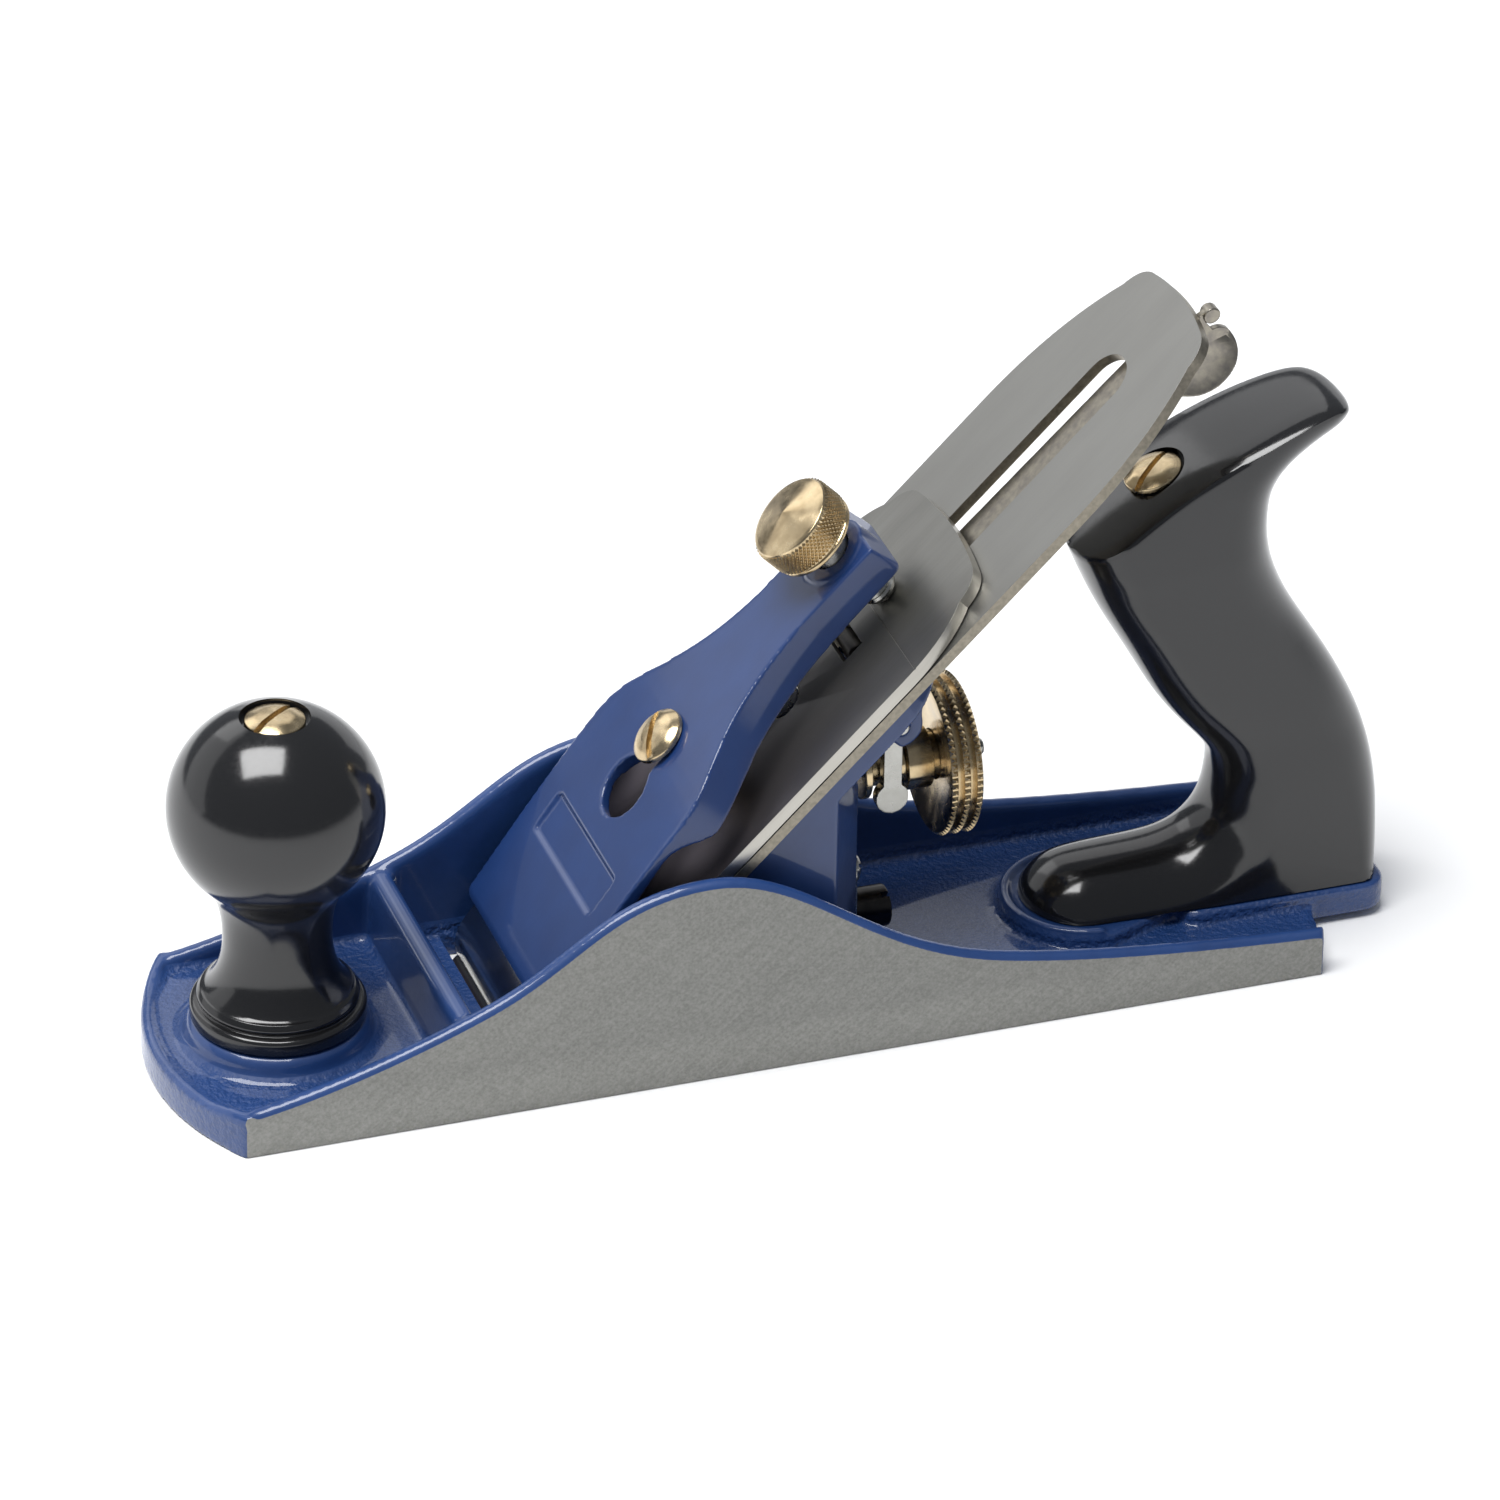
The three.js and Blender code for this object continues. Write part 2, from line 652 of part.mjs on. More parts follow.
function rearHandle() {
  const edgeSteps = 4;
  const bottom = handlePadHeight + gap;
  const front = handleSections.map(([x, z]) => new THREE.Vector3(padEndX + x, 0, bottom + z));
  const back = handleSections.map(([, , x, z]) => new THREE.Vector3(padEndX + x, 0, bottom + z));
  const edges = [front.slice(0, handleCorner + 1), front.slice(handleCorner), back.slice(handleHeel)];
  // How much of the full width a point keeps near an edge line that is rounded by a radius.
  const kept = (point, line, radius) => {
    const nearest = line.slice(1).map((end, i) => new THREE.Line3(line[i], end)
      .closestPointToPoint(point, true, new THREE.Vector3()).distanceTo(point));
    const inside = 1 - Math.min(...nearest, radius) / radius;
    return Math.sqrt(1 - inside * inside);
  };
  const rings = handleSections.map(([, , , , share, frontRound, backRound], k) => {
    const length = front[k].distanceTo(back[k]);
    const fit = Math.min(1, length / (frontRound + backRound));
    const steps = [];
    for (let i = 0; i <= edgeSteps; i++) {
      const rise = 1 - Math.cos((i * Math.PI) / 2 / edgeSteps);
      steps.push(rise * frontRound * fit, length - rise * backRound * fit);
    }
    const side = steps.sort((a, b) => a - b).map((step) => {
      const point = front[k].clone().lerp(back[k], length ? step / length : 0);
      const radii = [frontRound, handleTopEdge, Math.max(backRound, handleTopEdge)];
      const width = edges.reduce((w, line, i) => w * kept(point, line, radii[i]), share * handleThickness);
      return point.setY(-width / 2);
    });
    const mirrored = side.map((point) => point.clone().setY(-point.y)).reverse();
    return [...side, ...mirrored];
  });
  let handle = solid(lofted(rings));
  handle = handle.subtract(solid(handleBolt(boltDiameter + 2 * gap, -5, 120)));
  handle = handle.subtract(solid(handleBolt(nutBarrel + 2 * gap, handleNutSeat - nutDepth - gap, 130)));
  return handle.subtract(solid(handleBolt(nutDiameter + 2 * gap, handleNutSeat - gap, 130)));
}

// ---- Frog -----------------------------------------------------------------------------------

// Plan of the frog's body seen from above: side walls, and a back that steps in to the middle.
function frogPlan(inset = 0) {
  const half = frogWidth / 2 - inset;
  const back = frogBackWidth / 2 - inset * 0.4;
  return shapeOf([
    [edgeX, -half], [station(frogSideDepth) - inset, -half],
    [frogBackX - inset, -back], [frogBackX - inset, back],
    [station(frogSideDepth) - inset, half], [edgeX, half],
  ]);
}

// The frog's upright sides in profile, under the bed plate.
function frogProfile(inset = 0) {
  const bottom = seatHeight + gap;
  const top = bedFace - 1 - inset;
  const toe = offBed(0, top);
  const slopeX = (z) => toe.x + (z - toe.y) / Math.tan(bedRadians);
  const back = frogBackX + 1;
  const lid = (x) => toe.y + (x - toe.x) * Math.tan(bedRadians);
  return shapeOf([[slopeX(bottom), bottom], [back, bottom], [back, lid(back)]]);
}

// Outline of the bed plate, along the bed and across it: full width, then rounded shoulders.
function frogPlateShape() {
  const half = frogWidth / 2;
  const top = frogTopWidth / 2;
  const toeAlong = seatHeight / Math.sin(bedRadians) - frogPlate;
  const shape = new THREE.Shape();
  shape.moveTo(toeAlong, -half);
  shape.lineTo(frogShoulderAt, -half);
  const reach = frogTopAt - frogShoulderAt;
  shape.bezierCurveTo(
    frogShoulderAt + 0.45 * reach, -half,
    frogShoulderAt + 0.35 * reach, -top,
    frogTopAt - 5, -top,
  );
  shape.absarc(frogTopAt - 5, 5 - top, 5, -Math.PI / 2, 0, false);
  shape.absarc(frogTopAt - 5, top - 5, 5, 0, Math.PI / 2, false);
  shape.bezierCurveTo(
    frogShoulderAt + 0.35 * reach, top,
    frogShoulderAt + 0.45 * reach, half,
    frogShoulderAt, half,
  );
  shape.lineTo(toeAlong, half);
  return shape;
}

function toWorld(geometry) {
  return geometry.rotateY(-bedRadians).translate(edgeX, 0, 0);
}

function frogCasting() {
  const bottom = seatHeight + gap;
  const walls = solid(acrossY(frogProfile(), -frogWidth / 2, frogWidth / 2))
    .intersect(solid(alongZ(frogPlan(), 0, 120)));
  // Hollow from below, leaving the side and back walls and a foot for the two screws.
  const hollow = solid(acrossY(frogProfile(frogPlate - 1), -frogWidth, frogWidth))
    .intersect(solid(alongZ(frogPlan(frogWall), 0, 120)))
    .subtract(solid(block(edgeX, station(frogScrewFromToe + 9), -40, 40, 0, bottom + frogFoot)))
    .subtract(solid(block(edgeX, station(200), -3, 3, 0, 120)));
  const plate = solid(toWorld(alongZ(frogPlateShape(), bedFace - frogPlate, bedFace, 8)))
    .intersect(solid(block(edgeX - 20, station(200), -40, 40, bottom, 200)));
  let frog = walls.subtract(hollow).add(plate);

  // Ears under the plate carry the yoke's pin on either side of its hub.
  const earInner = yokeHalfWidth + gap;
  const earOuter = earInner + 3.7;
  const pivotX = station(yokePivotFromToe);
  const earShape = new THREE.Shape();
  const earTop = (x) => (x - edgeX) * Math.tan(bedRadians) + (bedFace - 1) / Math.cos(bedRadians);
  earShape.moveTo(frogBackX - 2, yokePivotHeight - 12);
  earShape.absarc(pivotX, yokePivotHeight, 4.6, -Math.PI / 2, 0.35, false);
  earShape.lineTo(pivotX + 6, earTop(pivotX + 6));
  earShape.lineTo(frogBackX - 2, earTop(frogBackX - 2));
  for (const side of [-1, 1]) {
    const near = side > 0 ? earInner : -earOuter;
    frog = frog.add(solid(acrossY(earShape, near, near + earOuter - earInner, 8)));
  }
  // Boss behind the bed for the lever cap's screw, and one in the back wall for the stud.
  const screwBoss = rod(13, bedFace - 19, bedFace - 1).translate(leverCapScrewAt, 0, 0);
  frog = frog.add(solid(toWorld(screwBoss)));
  const studBoss = rod(11, frogBackX - 14, frogBackX + 0.8)
    .rotateY(Math.PI / 2).translate(0, 0, studHeight);
  frog = frog.add(solid(studBoss));

  // Openings in the bed: the lever cap screw, the cap iron screw's head, the yoke and the
  // lateral lever's seat.
  const slotFloor = bedFace - frogPlate - 1.5;
  const cuts = [
    rod(leverCapScrewThread + 2 * gap, bedFace - 40, 10).translate(leverCapScrewAt, 0, 0),
    alongZ(
      slotShape(
        capIronScrewAt - capIronScrewHead / 2 - 3.6, capIronScrewAt + capIronScrewHead / 2 + 3,
        capIronScrewHead + 1.4,
      ),
      slotFloor, 10,
    ),
    block(capIronScrewAt, yokeHoleAt + 4.4, -yokeArmWidth / 2 - 1, yokeArmWidth / 2 + 1, slotFloor, 10),
    alongZ(lateralSeatShape(), bedFace - lateralThickness - 2 * gap, 10),
    rod(lateralRivetDiameter + 2 * gap, -40, 10).translate(lateralPivotAt, 0, 0),
  ];
  for (const cut of cuts) frog = frog.subtract(solid(toWorld(cut)));
  // A channel over the casting's guide rib, and the clip screw's hole above it.
  const channel = block(
    frogBackX - guideRibSetback - guideRibLength - 2, frogBackX + 2,
    -guideRibWidth / 2 - gap, guideRibWidth / 2 + gap, 0, guideRibHeight + gap,
  );
  frog = frog.subtract(solid(channel));
  const clipHole = rod(clipScrewDiameter + 2 * gap, frogBackX - 9, frogBackX + 1);
  frog = frog.subtract(solid(alongX(clipHole).translate(0, 0, clipScrewHeight)));
  const pinHole = rod(yokePinDiameter + 2 * gap, -30, 30).rotateX(Math.PI / 2);
  frog = frog.subtract(solid(pinHole.translate(pivotX, 0, yokePivotHeight)));
  const studHole = rod(studDiameter + 2 * gap, frogBackX - 12, station(200));
  frog = frog.subtract(solid(studHole.rotateY(Math.PI / 2).translate(0, 0, studHeight)));
  // Each frog screw stands in a shaft that opens at the bed, over an oval hole in the foot.
  for (const side of [-1, 1]) {
    const y = (side * frogScrewSpread) / 2;
    const x = station(frogScrewFromToe);
    const slot = alongZ(
      slotShape(x - shiftReach(frogScrewDiameter), x + shiftReach(frogScrewDiameter), frogScrewDiameter + 1),
      0, 200,
    );
    const shaft = alongZ(
      slotShape(x - shiftReach(frogWasher), x + shiftReach(frogWasher), frogWasher + 1),
      bottom + frogFoot, 200,
    );
    frog = frog.subtract(solid(slot.translate(0, y, 0))).subtract(solid(shaft.translate(0, y, 0)));
  }
  return frog;
}

// The adjusting screw turns in the casting's guide rib. The frog's clip sits in its groove.
function frogAdjustingScrew() {
  const head = adjustingScrewHead / 2;
  const thread = adjustingScrewThread / 2;
  const neck = adjustingScrewGroove / 2;
  const wall = frogBackX;
  const behind = wall + gap + clipThickness + gap;
  const front = wall - gap - adjustingScrewCollar;
  const end = station(adjustingScrewEnd);
  const screw = solid(turned([
    [0, front - adjustingScrewLength], [thread, front - adjustingScrewLength], [thread, front],
    [head, front], [head, wall],
    [neck, wall], [neck, behind], [head, behind], [head, end - 0.7], [head - 0.7, end], [0, end],
  ]));
  const slot = block(-0.6, 0.6, -head - 1, head + 1, end - 1.8, end + 1);
  return solid(alongX(toGeometry(screw.subtract(solid(slot)))).translate(0, 0, adjustingScrewHeight));
}

// A forked plate that hangs on the frog's back and ties it to the adjusting screw.
function frogAdjustingClip() {
  const front = frogBackX + gap;
  const half = clipWidth / 2;
  const fork = adjustingScrewGroove / 2 + gap;
  const bottom = adjustingScrewHeight - 3.2;
  const shape = new THREE.Shape();
  shape.moveTo(half, bottom);
  shape.lineTo(half, clipTop - 4);
  shape.quadraticCurveTo(half, clipTop, half - 4, clipTop);
  shape.lineTo(4 - half, clipTop);
  shape.quadraticCurveTo(-half, clipTop, -half, clipTop - 4);
  shape.lineTo(-half, bottom);
  shape.lineTo(-fork, bottom);
  shape.absarc(0, adjustingScrewHeight, fork, Math.PI, 0, true);
  shape.lineTo(fork, bottom);
  const plate = new THREE.ExtrudeGeometry(shape, {
    depth: clipThickness, curveSegments: 8, bevelEnabled: false,
  }).rotateX(Math.PI / 2).rotateZ(Math.PI / 2).translate(front, 0, 0);
  const hole = rod(clipScrewDiameter + 2 * gap, front - 1, front + clipThickness + 1);
  return solid(plate).subtract(solid(alongX(hole).translate(0, 0, clipScrewHeight)));
}

function clipScrew() {
  const under = frogBackX + gap + clipThickness + gap;
  const head = clipScrewHead / 2;
  const thread = clipScrewDiameter / 2;
  const screw = solid(turned([
    [0, under - 8], [thread, under - 8], [thread, under], [head, under], [head, under + 1.3],
    [head * 0.6, under + 2.1], [0, under + 2.3],
  ]));
  const slot = block(-0.5, 0.5, -head - 1, head + 1, under + 1.3, under + 4);
  return solid(alongX(toGeometry(screw.subtract(solid(slot)))).translate(0, 0, clipScrewHeight));
}

function frogScrew() {
  const under = seatHeight + gap + frogFoot + gap + frogWasherThickness + gap;
  const head = frogScrewHead / 2;
  let screw = solid(turned([
    [0, 3], [frogScrewDiameter / 2, 3], [frogScrewDiameter / 2, under], [head, under],
    [head, under + 1.8], [head * 0.7, under + 2.9], [0, under + 3.3],
  ]));
  const slot = block(-head - 1, head + 1, -0.7, 0.7, under + 2, under + 6);
  return screw.subtract(solid(slot));
}

function frogWasherPiece() {
  const from = seatHeight + gap + frogFoot + gap;
  return solid(rod(frogWasher, from, from + frogWasherThickness))
    .subtract(solid(rod(frogScrewDiameter + 2 * gap, 0, 40)));
}

// ---- Depth adjuster -------------------------------------------------------------------------

// Turned pieces of the adjuster lie along +X from the origin of their own group.
function alongX(geometry) {
  return geometry.rotateY(Math.PI / 2);
}

function depthStud() {
  const from = frogBackX - 11;
  const radius = studDiameter / 2;
  const to = station(studEnd);
  return solid(alongX(turned([
    [0, from], [radius, from], [radius, to - 1.2], [radius * 0.55, to], [0, to],
  ])));
}

// The collar is a threaded spool: front flange, groove for the yoke, hub, and the wheel's seat.
function depthCollar() {
  const bore = studDiameter / 2 + gap;
  const flange = collarDiameter / 2;
  const neck = grooveDiameter / 2;
  const x = station(grooveAt) - grooveWidth / 2;
  const hub = x + grooveWidth;
  const seat = hub + hubLength;
  const end = seat + gap + wheelWidth;
  return solid(alongX(turned([
    [bore, x - 1.6], [flange - 0.4, x - 1.6], [flange, x - 1.2], [flange, x], [neck, x], [neck, hub],
    [flange - 0.4, hub], [flange - 0.4, seat], [neck + 0.4, seat], [neck + 0.4, end], [bore, end],
    [bore, x - 1.6],
  ])));
}

const wheelStart = () => station(grooveAt) + grooveWidth / 2 + hubLength + gap;

// Three knurled rings stand on the wheel, with plain grooves between them.
function depthWheel() {
  const ring = wheelWidth / 5;
  let wheel = solid(rod(wheelDiameter - 2.6, 0.3, wheelWidth - 0.3, round));
  for (const start of [0, 2, 4]) {
    const teeth = alongZ(toothedShape(wheelDiameter, 0.7, wheelTeeth), start * ring, (start + 1) * ring);
    wheel = wheel.add(solid(teeth));
  }
  // The front face is dished towards the hub.
  const dish = turned([[0, -1], [wheelDiameter / 2 - 4, -1], [wheelDiameter / 2 - 4, 0.1],
    [grooveDiameter / 2 + 3, 1.1], [0, 1.1]], round);
  wheel = wheel.subtract(solid(dish));
  wheel = wheel.subtract(solid(rod(grooveDiameter + 0.8 + 2 * gap, -5, 20)));
  return solid(alongX(toGeometry(wheel)).translate(wheelStart(), 0, 0));
}

// The yoke: two legs with round ends for the groove, a hub on the pin, and an arm that reaches
// through the bed into the cap iron. Built round its own pin.
function yokePiece() {
  const half = yokeHalfWidth;
  let yoke = solid(rod(yokeHub, -half, half).rotateX(Math.PI / 2));
  const drop = yokePivotHeight - yokeDiscHeight;
  for (const side of [-1, 1]) {
    const from = side > 0 ? half - yokeLeg : -half;
    const neck = block(-yokeNeck / 2, yokeNeck / 2, from, from + yokeLeg, -drop, 0);
    const disc = rod(yokeDiscDiameter, -from - yokeLeg, -from).rotateX(Math.PI / 2);
    yoke = yoke.add(solid(neck)).add(solid(disc.translate(0, 0, -drop)));
  }
  const pivot = onBed(station(yokePivotFromToe), yokePivotHeight);
  const tip = new THREE.Vector2(yokeHoleAt, yokeTipAbove - yokeArm / 2);
  const reach = tip.clone().sub(pivot);
  const arm = slotShape(-yokeArm / 2, reach.length() + yokeArm / 2, yokeArm);
  const armGeometry = acrossY(arm, -yokeArmWidth / 2, yokeArmWidth / 2, 8)
    .rotateY(-reach.angle() - bedRadians);
  yoke = yoke.add(solid(armGeometry));
  return yoke.subtract(solid(rod(yokePinDiameter + 2 * gap, -20, 20).rotateX(Math.PI / 2)));
}

function yokePin() {
  const reach = yokeHalfWidth + gap + 4.4;
  return solid(rod(yokePinDiameter, -reach, reach).rotateX(Math.PI / 2));
}

// ---- Lateral lever --------------------------------------------------------------------------

// Seat in the frog's face, wide enough for the lever's swing.
function lateralSeatShape() {
  const shape = new THREE.Shape();
  const half = lateralWidth / 2 + 1.2;
  shape.absarc(lateralDiscAt, 0, half + 0.6, Math.PI / 2, (3 * Math.PI) / 2, false);
  shape.lineTo(frogTopAt + 5, -half - 1.2);
  shape.lineTo(frogTopAt + 5, half + 1.2);
  return shape;
}

function lateralLever() {
  const top = bedFace - gap;
  const bottom = top - lateralThickness;
  const half = lateralWidth / 2;
  const neck = lateralEnd - lateralTabLength;
  const shape = new THREE.Shape();
  shape.absarc(lateralDiscAt, 0, half, Math.PI / 2, (3 * Math.PI) / 2, false);
  shape.lineTo(lateralPivotAt + 6, -half);
  shape.lineTo(neck, -lateralTabOffset - lateralThickness / 2);
  shape.lineTo(lateralEnd, -lateralTabOffset - lateralThickness / 2);
  shape.lineTo(lateralEnd, 0.5 - lateralTabOffset);
  shape.quadraticCurveTo(neck + 6, 0, neck, half - 1.2);
  shape.lineTo(lateralPivotAt + 6, half);
  let lever = solid(alongZ(shape, bottom, top, 8));
  // The thumb tab is folded square to the lever and hangs behind the iron like a leaf. The lever's
  // end is rolled into a nib.
  const tab = new THREE.Shape();
  const low = top - lateralTabDrop;
  const reach = lateralTabLength;
  tab.moveTo(neck - 3, top);
  tab.quadraticCurveTo(neck - 1, low + 5, neck + 0.24 * reach, low + 1.6);
  tab.quadraticCurveTo(neck + 0.5 * reach, low - 0.8, neck + 0.78 * reach, low + 0.8);
  tab.quadraticCurveTo(lateralEnd + 0.2, low + 2.6, lateralEnd + 0.3, low + 6.4);
  tab.quadraticCurveTo(lateralEnd, low + 8.6, lateralEnd - 1.6, low + 9.4);
  tab.lineTo(lateralEnd - 1.2, top);
  lever = lever.add(solid(acrossY(
    tab, -lateralTabOffset - lateralThickness / 2, lateralThickness / 2 - lateralTabOffset, 5,
  )));
  const nib = rod(lateralNib, lateralTabOffset - 1.4, lateralTabOffset + 1.4, 12)
    .rotateX(Math.PI / 2).translate(lateralEnd + 0.5, 0, top - lateralNib / 2);
  lever = lever.add(solid(nib));
  return lever.subtract(solid(rod(lateralRivetDiameter + 2 * gap, -30, 30).translate(lateralPivotAt, 0, 0)));
}

function lateralDiscPiece() {
  const bottom = bedFace - gap + gap;
  return solid(rod(lateralDisc, bottom, -0.3).translate(lateralDiscAt, 0, 0));
}

function lateralRivet() {
  const radius = lateralRivetDiameter / 2;
  const under = bedFace - frogPlate - gap;
  return solid(turned([
    [0, under - 1.2], [radius + 1, under - 1.2], [radius + 1.4, under], [radius, under],
    [radius, bedFace - gap], [0, bedFace - gap],
  ]).translate(lateralPivotAt, 0, 0));
}

// ---- Irons ----------------------------------------------------------------------------------

// Outline of an iron: square at the edge, tapering above a shoulder to a rounded, crowned top.
function ironShape(start, length, topWidth, taper) {
  const half = ironWidth / 2;
  const top = topWidth / 2;
  const crown = length - 3.2;
  const corner = 5.5;
  const shoulder = length - taper;
  const shape = new THREE.Shape();
  shape.moveTo(start, -half);
  shape.lineTo(shoulder, -half);
  shape.quadraticCurveTo(shoulder + 0.45 * taper, -half, crown - corner, -top);
  shape.quadraticCurveTo(crown, -top + 1, crown + 0.6, -top + corner);
  shape.quadraticCurveTo(length, 0, crown + 0.6, top - corner);
  shape.quadraticCurveTo(crown, top - 1, crown - corner, top);
  shape.quadraticCurveTo(shoulder + 0.45 * taper, half, shoulder, half);
  shape.lineTo(start, half);
  return shape;
}

function cuttingIron() {
  let iron = solid(alongZ(ironShape(0, ironLength, ironTopWidth, 44), -ironThickness, 0, 8));
  const run = ironThickness / Math.tan(THREE.MathUtils.degToRad(bevelAngle));
  const wedge = shapeOf([[-2, 0.02], [0, 0], [run, -ironThickness], [run, -ironThickness - 1], [-2, -4]]);
  iron = iron.subtract(solid(acrossY(wedge, -ironWidth, ironWidth)));
  const slotTop = ironLength - 17.4;
  iron = iron.subtract(solid(alongZ(slotShape(48, slotTop, ironSlot), -10, 10, 8)));
  return iron.subtract(solid(rod(18.4, -10, 10).translate(54, 0, 0)));
}

// Cap iron: its edge curls up into a hump and down to the flat, which springs clear of the iron.
function capIron() {
  const under = capIronLift;
  const top = under + capIronThickness;
  const edge = capIronSetback;
  const hump = leverCapStart + 0.8;
  const rise = hump - edge;
  const humpUnder = capIronHump - capIronThickness + 0.2;
  const profile = new THREE.Shape();
  profile.moveTo(edge, gap);
  profile.bezierCurveTo(
    edge + 0.14 * rise, capIronHump - 0.9, edge + 0.55 * rise, capIronHump, hump, capIronHump,
  );
  profile.bezierCurveTo(hump + 4, capIronHump, hump + 6, top, hump + 11, top);
  profile.lineTo(capIronLength + 1, top);
  profile.lineTo(capIronLength + 1, under);
  profile.lineTo(hump + 11, under);
  profile.bezierCurveTo(hump + 5.6, under, hump + 3.6, humpUnder, hump, humpUnder);
  profile.bezierCurveTo(
    edge + 0.55 * rise, humpUnder, edge + 0.25 * rise, gap + 1.4, edge + 0.8, gap,
  );
  let iron = solid(acrossY(profile, -ironWidth, ironWidth, 7))
    .intersect(solid(alongZ(ironShape(0, capIronLength, ironTopWidth + 5, 27), -1, 12, 8)));
  const holes = [
    alongZ(slotShape(leverCapScrewAt - 8.5, leverCapScrewAt + 8.5, leverCapScrewShank + 4.4), -5, 12, 8),
    rod(capIronScrewDiameter + 2 * gap, -5, 12).translate(capIronScrewAt, 0, 0),
    block(
      yokeHoleAt - yokeHoleLength / 2, yokeHoleAt + yokeHoleLength / 2,
      -yokeHoleWidth / 2, yokeHoleWidth / 2, -5, 12,
    ),
  ];
  for (const hole of holes) iron = iron.subtract(solid(hole));
  return iron;
}

// The cap iron screw's broad head lies under the cutting iron, inside the frog's slot.
function capIronScrew() {
  const head = -ironThickness - gap;
  const top = capIronLift + capIronThickness - 0.1;
  const radius = capIronScrewDiameter / 2;
  const reach = capIronScrewHead / 2;
  let screw = solid(turned([
    [0, head - 3.2], [reach - 1.4, head - 3.2], [reach, head - 2.2], [reach, head], [radius, head],
    [radius, top], [0, top],
  ]));
  screw = screw.subtract(solid(block(-reach - 1, reach + 1, -0.8, 0.8, head - 4, head - 1.8)));
  return solid(toGeometry(screw).translate(capIronScrewAt, 0, 0));
}

// ---- Lever cap ------------------------------------------------------------------------------

// Outline across the bed: parallel sides at the front, then shoulders that draw in to the neck.
function leverCapShape(inset = 0) {
  const half = leverCapWidth / 2 - inset;
  const neck = leverCapNeck / 2 - inset;
  const start = leverCapStart + inset;
  const end = leverCapEnd - inset;
  const shoulder = leverCapScrewAt - 2.5 - inset * 0.6;
  const waist = shoulder + 39;
  const corner = Math.max(0.4, 2 - inset);
  const shape = new THREE.Shape();
  shape.moveTo(start, corner - half);
  shape.quadraticCurveTo(start, -half, start + corner, -half);
  shape.lineTo(shoulder - 6, -half);
  shape.bezierCurveTo(shoulder + 8, -half, shoulder + 10, -neck - 1.5, waist, -neck);
  shape.lineTo(end - corner, -neck);
  shape.quadraticCurveTo(end, -neck, end, corner - neck);
  shape.lineTo(end, neck - corner);
  shape.quadraticCurveTo(end, neck, end - corner, neck);
  shape.lineTo(waist, neck);
  shape.bezierCurveTo(shoulder + 10, neck + 1.5, shoulder + 8, half, shoulder - 6, half);
  shape.lineTo(start + corner, half);
  shape.quadraticCurveTo(start, half, start, half - corner);
  return shape;
}

// Side profile: a humped back that falls to a thin lip, over skirts that hang from the neck.
function leverCapProfile(drop = 0, under = true) {
  const top = leverCapTop - drop;
  const start = leverCapStart - 1;
  const end = under ? leverCapEnd : leverCapEnd + 1;
  const shape = new THREE.Shape();
  shape.moveTo(start, leverCapLip - drop - 0.6);
  shape.lineTo(leverCapStart + 1.2, leverCapLip + 0.6 - drop);
  shape.lineTo(leverCapStart + 18.5, leverCapLip + 3.6 - drop);
  shape.bezierCurveTo(
    leverCapStart + 34, leverCapLip + 6.2 - drop, leverCapScrewAt - 6, top - 0.9,
    leverCapScrewAt + 14, top - 0.1,
  );
  const lean = under ? leverCapEndLean : 0;
  shape.lineTo(end - lean, top + 0.3);
  if (!under) {
    shape.lineTo(end, 0);
    shape.lineTo(start, 0);
    return shape;
  }
  shape.lineTo(end, leverCapSkirt + 0.8);
  shape.lineTo(leverCapScrewAt - 2, leverCapSkirt - 0.6);
  shape.bezierCurveTo(
    leverCapScrewAt - 6, leverCapSkirt - 0.8, leverCapScrewAt - 8, leverCapSkirt + 4.6,
    leverCapScrewAt - 14, leverCapSkirt + 4.2,
  );
  shape.lineTo(leverCapStart + 16, leverCapLip);
  shape.lineTo(leverCapStart + 3, capIronHump + gap);
  shape.lineTo(start, capIronHump + gap);
  return shape;
}

function leverCap() {
  let cap = solid(acrossY(leverCapProfile(), -leverCapWidth, leverCapWidth, 10))
    .intersect(solid(alongZ(leverCapShape(), 0, 30, 10)));
  // The shell is open below, with walls all round the shoulders and the neck.
  const pocket = solid(acrossY(leverCapProfile(3, false), -leverCapWidth, leverCapWidth, 10))
    .intersect(solid(alongZ(leverCapShape(leverCapWall), -5, 30, 10)))
    .intersect(solid(block(leverCapScrewAt - 17, leverCapEnd + 5, -40, 40, -5, 30)));
  cap = cap.subtract(pocket);
  // Threaded boss for the thumbscrew, and a collar round the keyhole.
  const boss = rod(thumbShank + 6.4, leverCapSkirt + 1, leverCapTop + 1.6).translate(thumbscrewAt, 0, 0);
  cap = cap.add(solid(boss));
  // Recessed panel across the broad part, left plain.
  const panel = block(
    leverCapStart + 20, leverCapStart + 29, -17, 17, -0.5, 4,
  );
  const panelTilt = 0.13;
  const panelMiddle = leverCapStart + 24.5;
  panel.translate(-panelMiddle, 0, 0).rotateY(-panelTilt).translate(panelMiddle, 0, leverCapLip + 4.4);
  cap = cap.subtract(solid(panel));
  const cuts = [
    rod(keyholeBig, -5, 40, round).translate(leverCapScrewAt - keyholeTravel, 0, 0),
    alongZ(
      slotShape(leverCapScrewAt - keyholeTravel - 2, leverCapScrewAt + keyholeSlot / 2, keyholeSlot),
      -5, 40, 8,
    ),
    rod(thumbShank + 2 * gap, -5, 40).translate(thumbscrewAt, 0, 0),
  ];
  for (const cut of cuts) cap = cap.subtract(solid(cut));
  return cap;
}

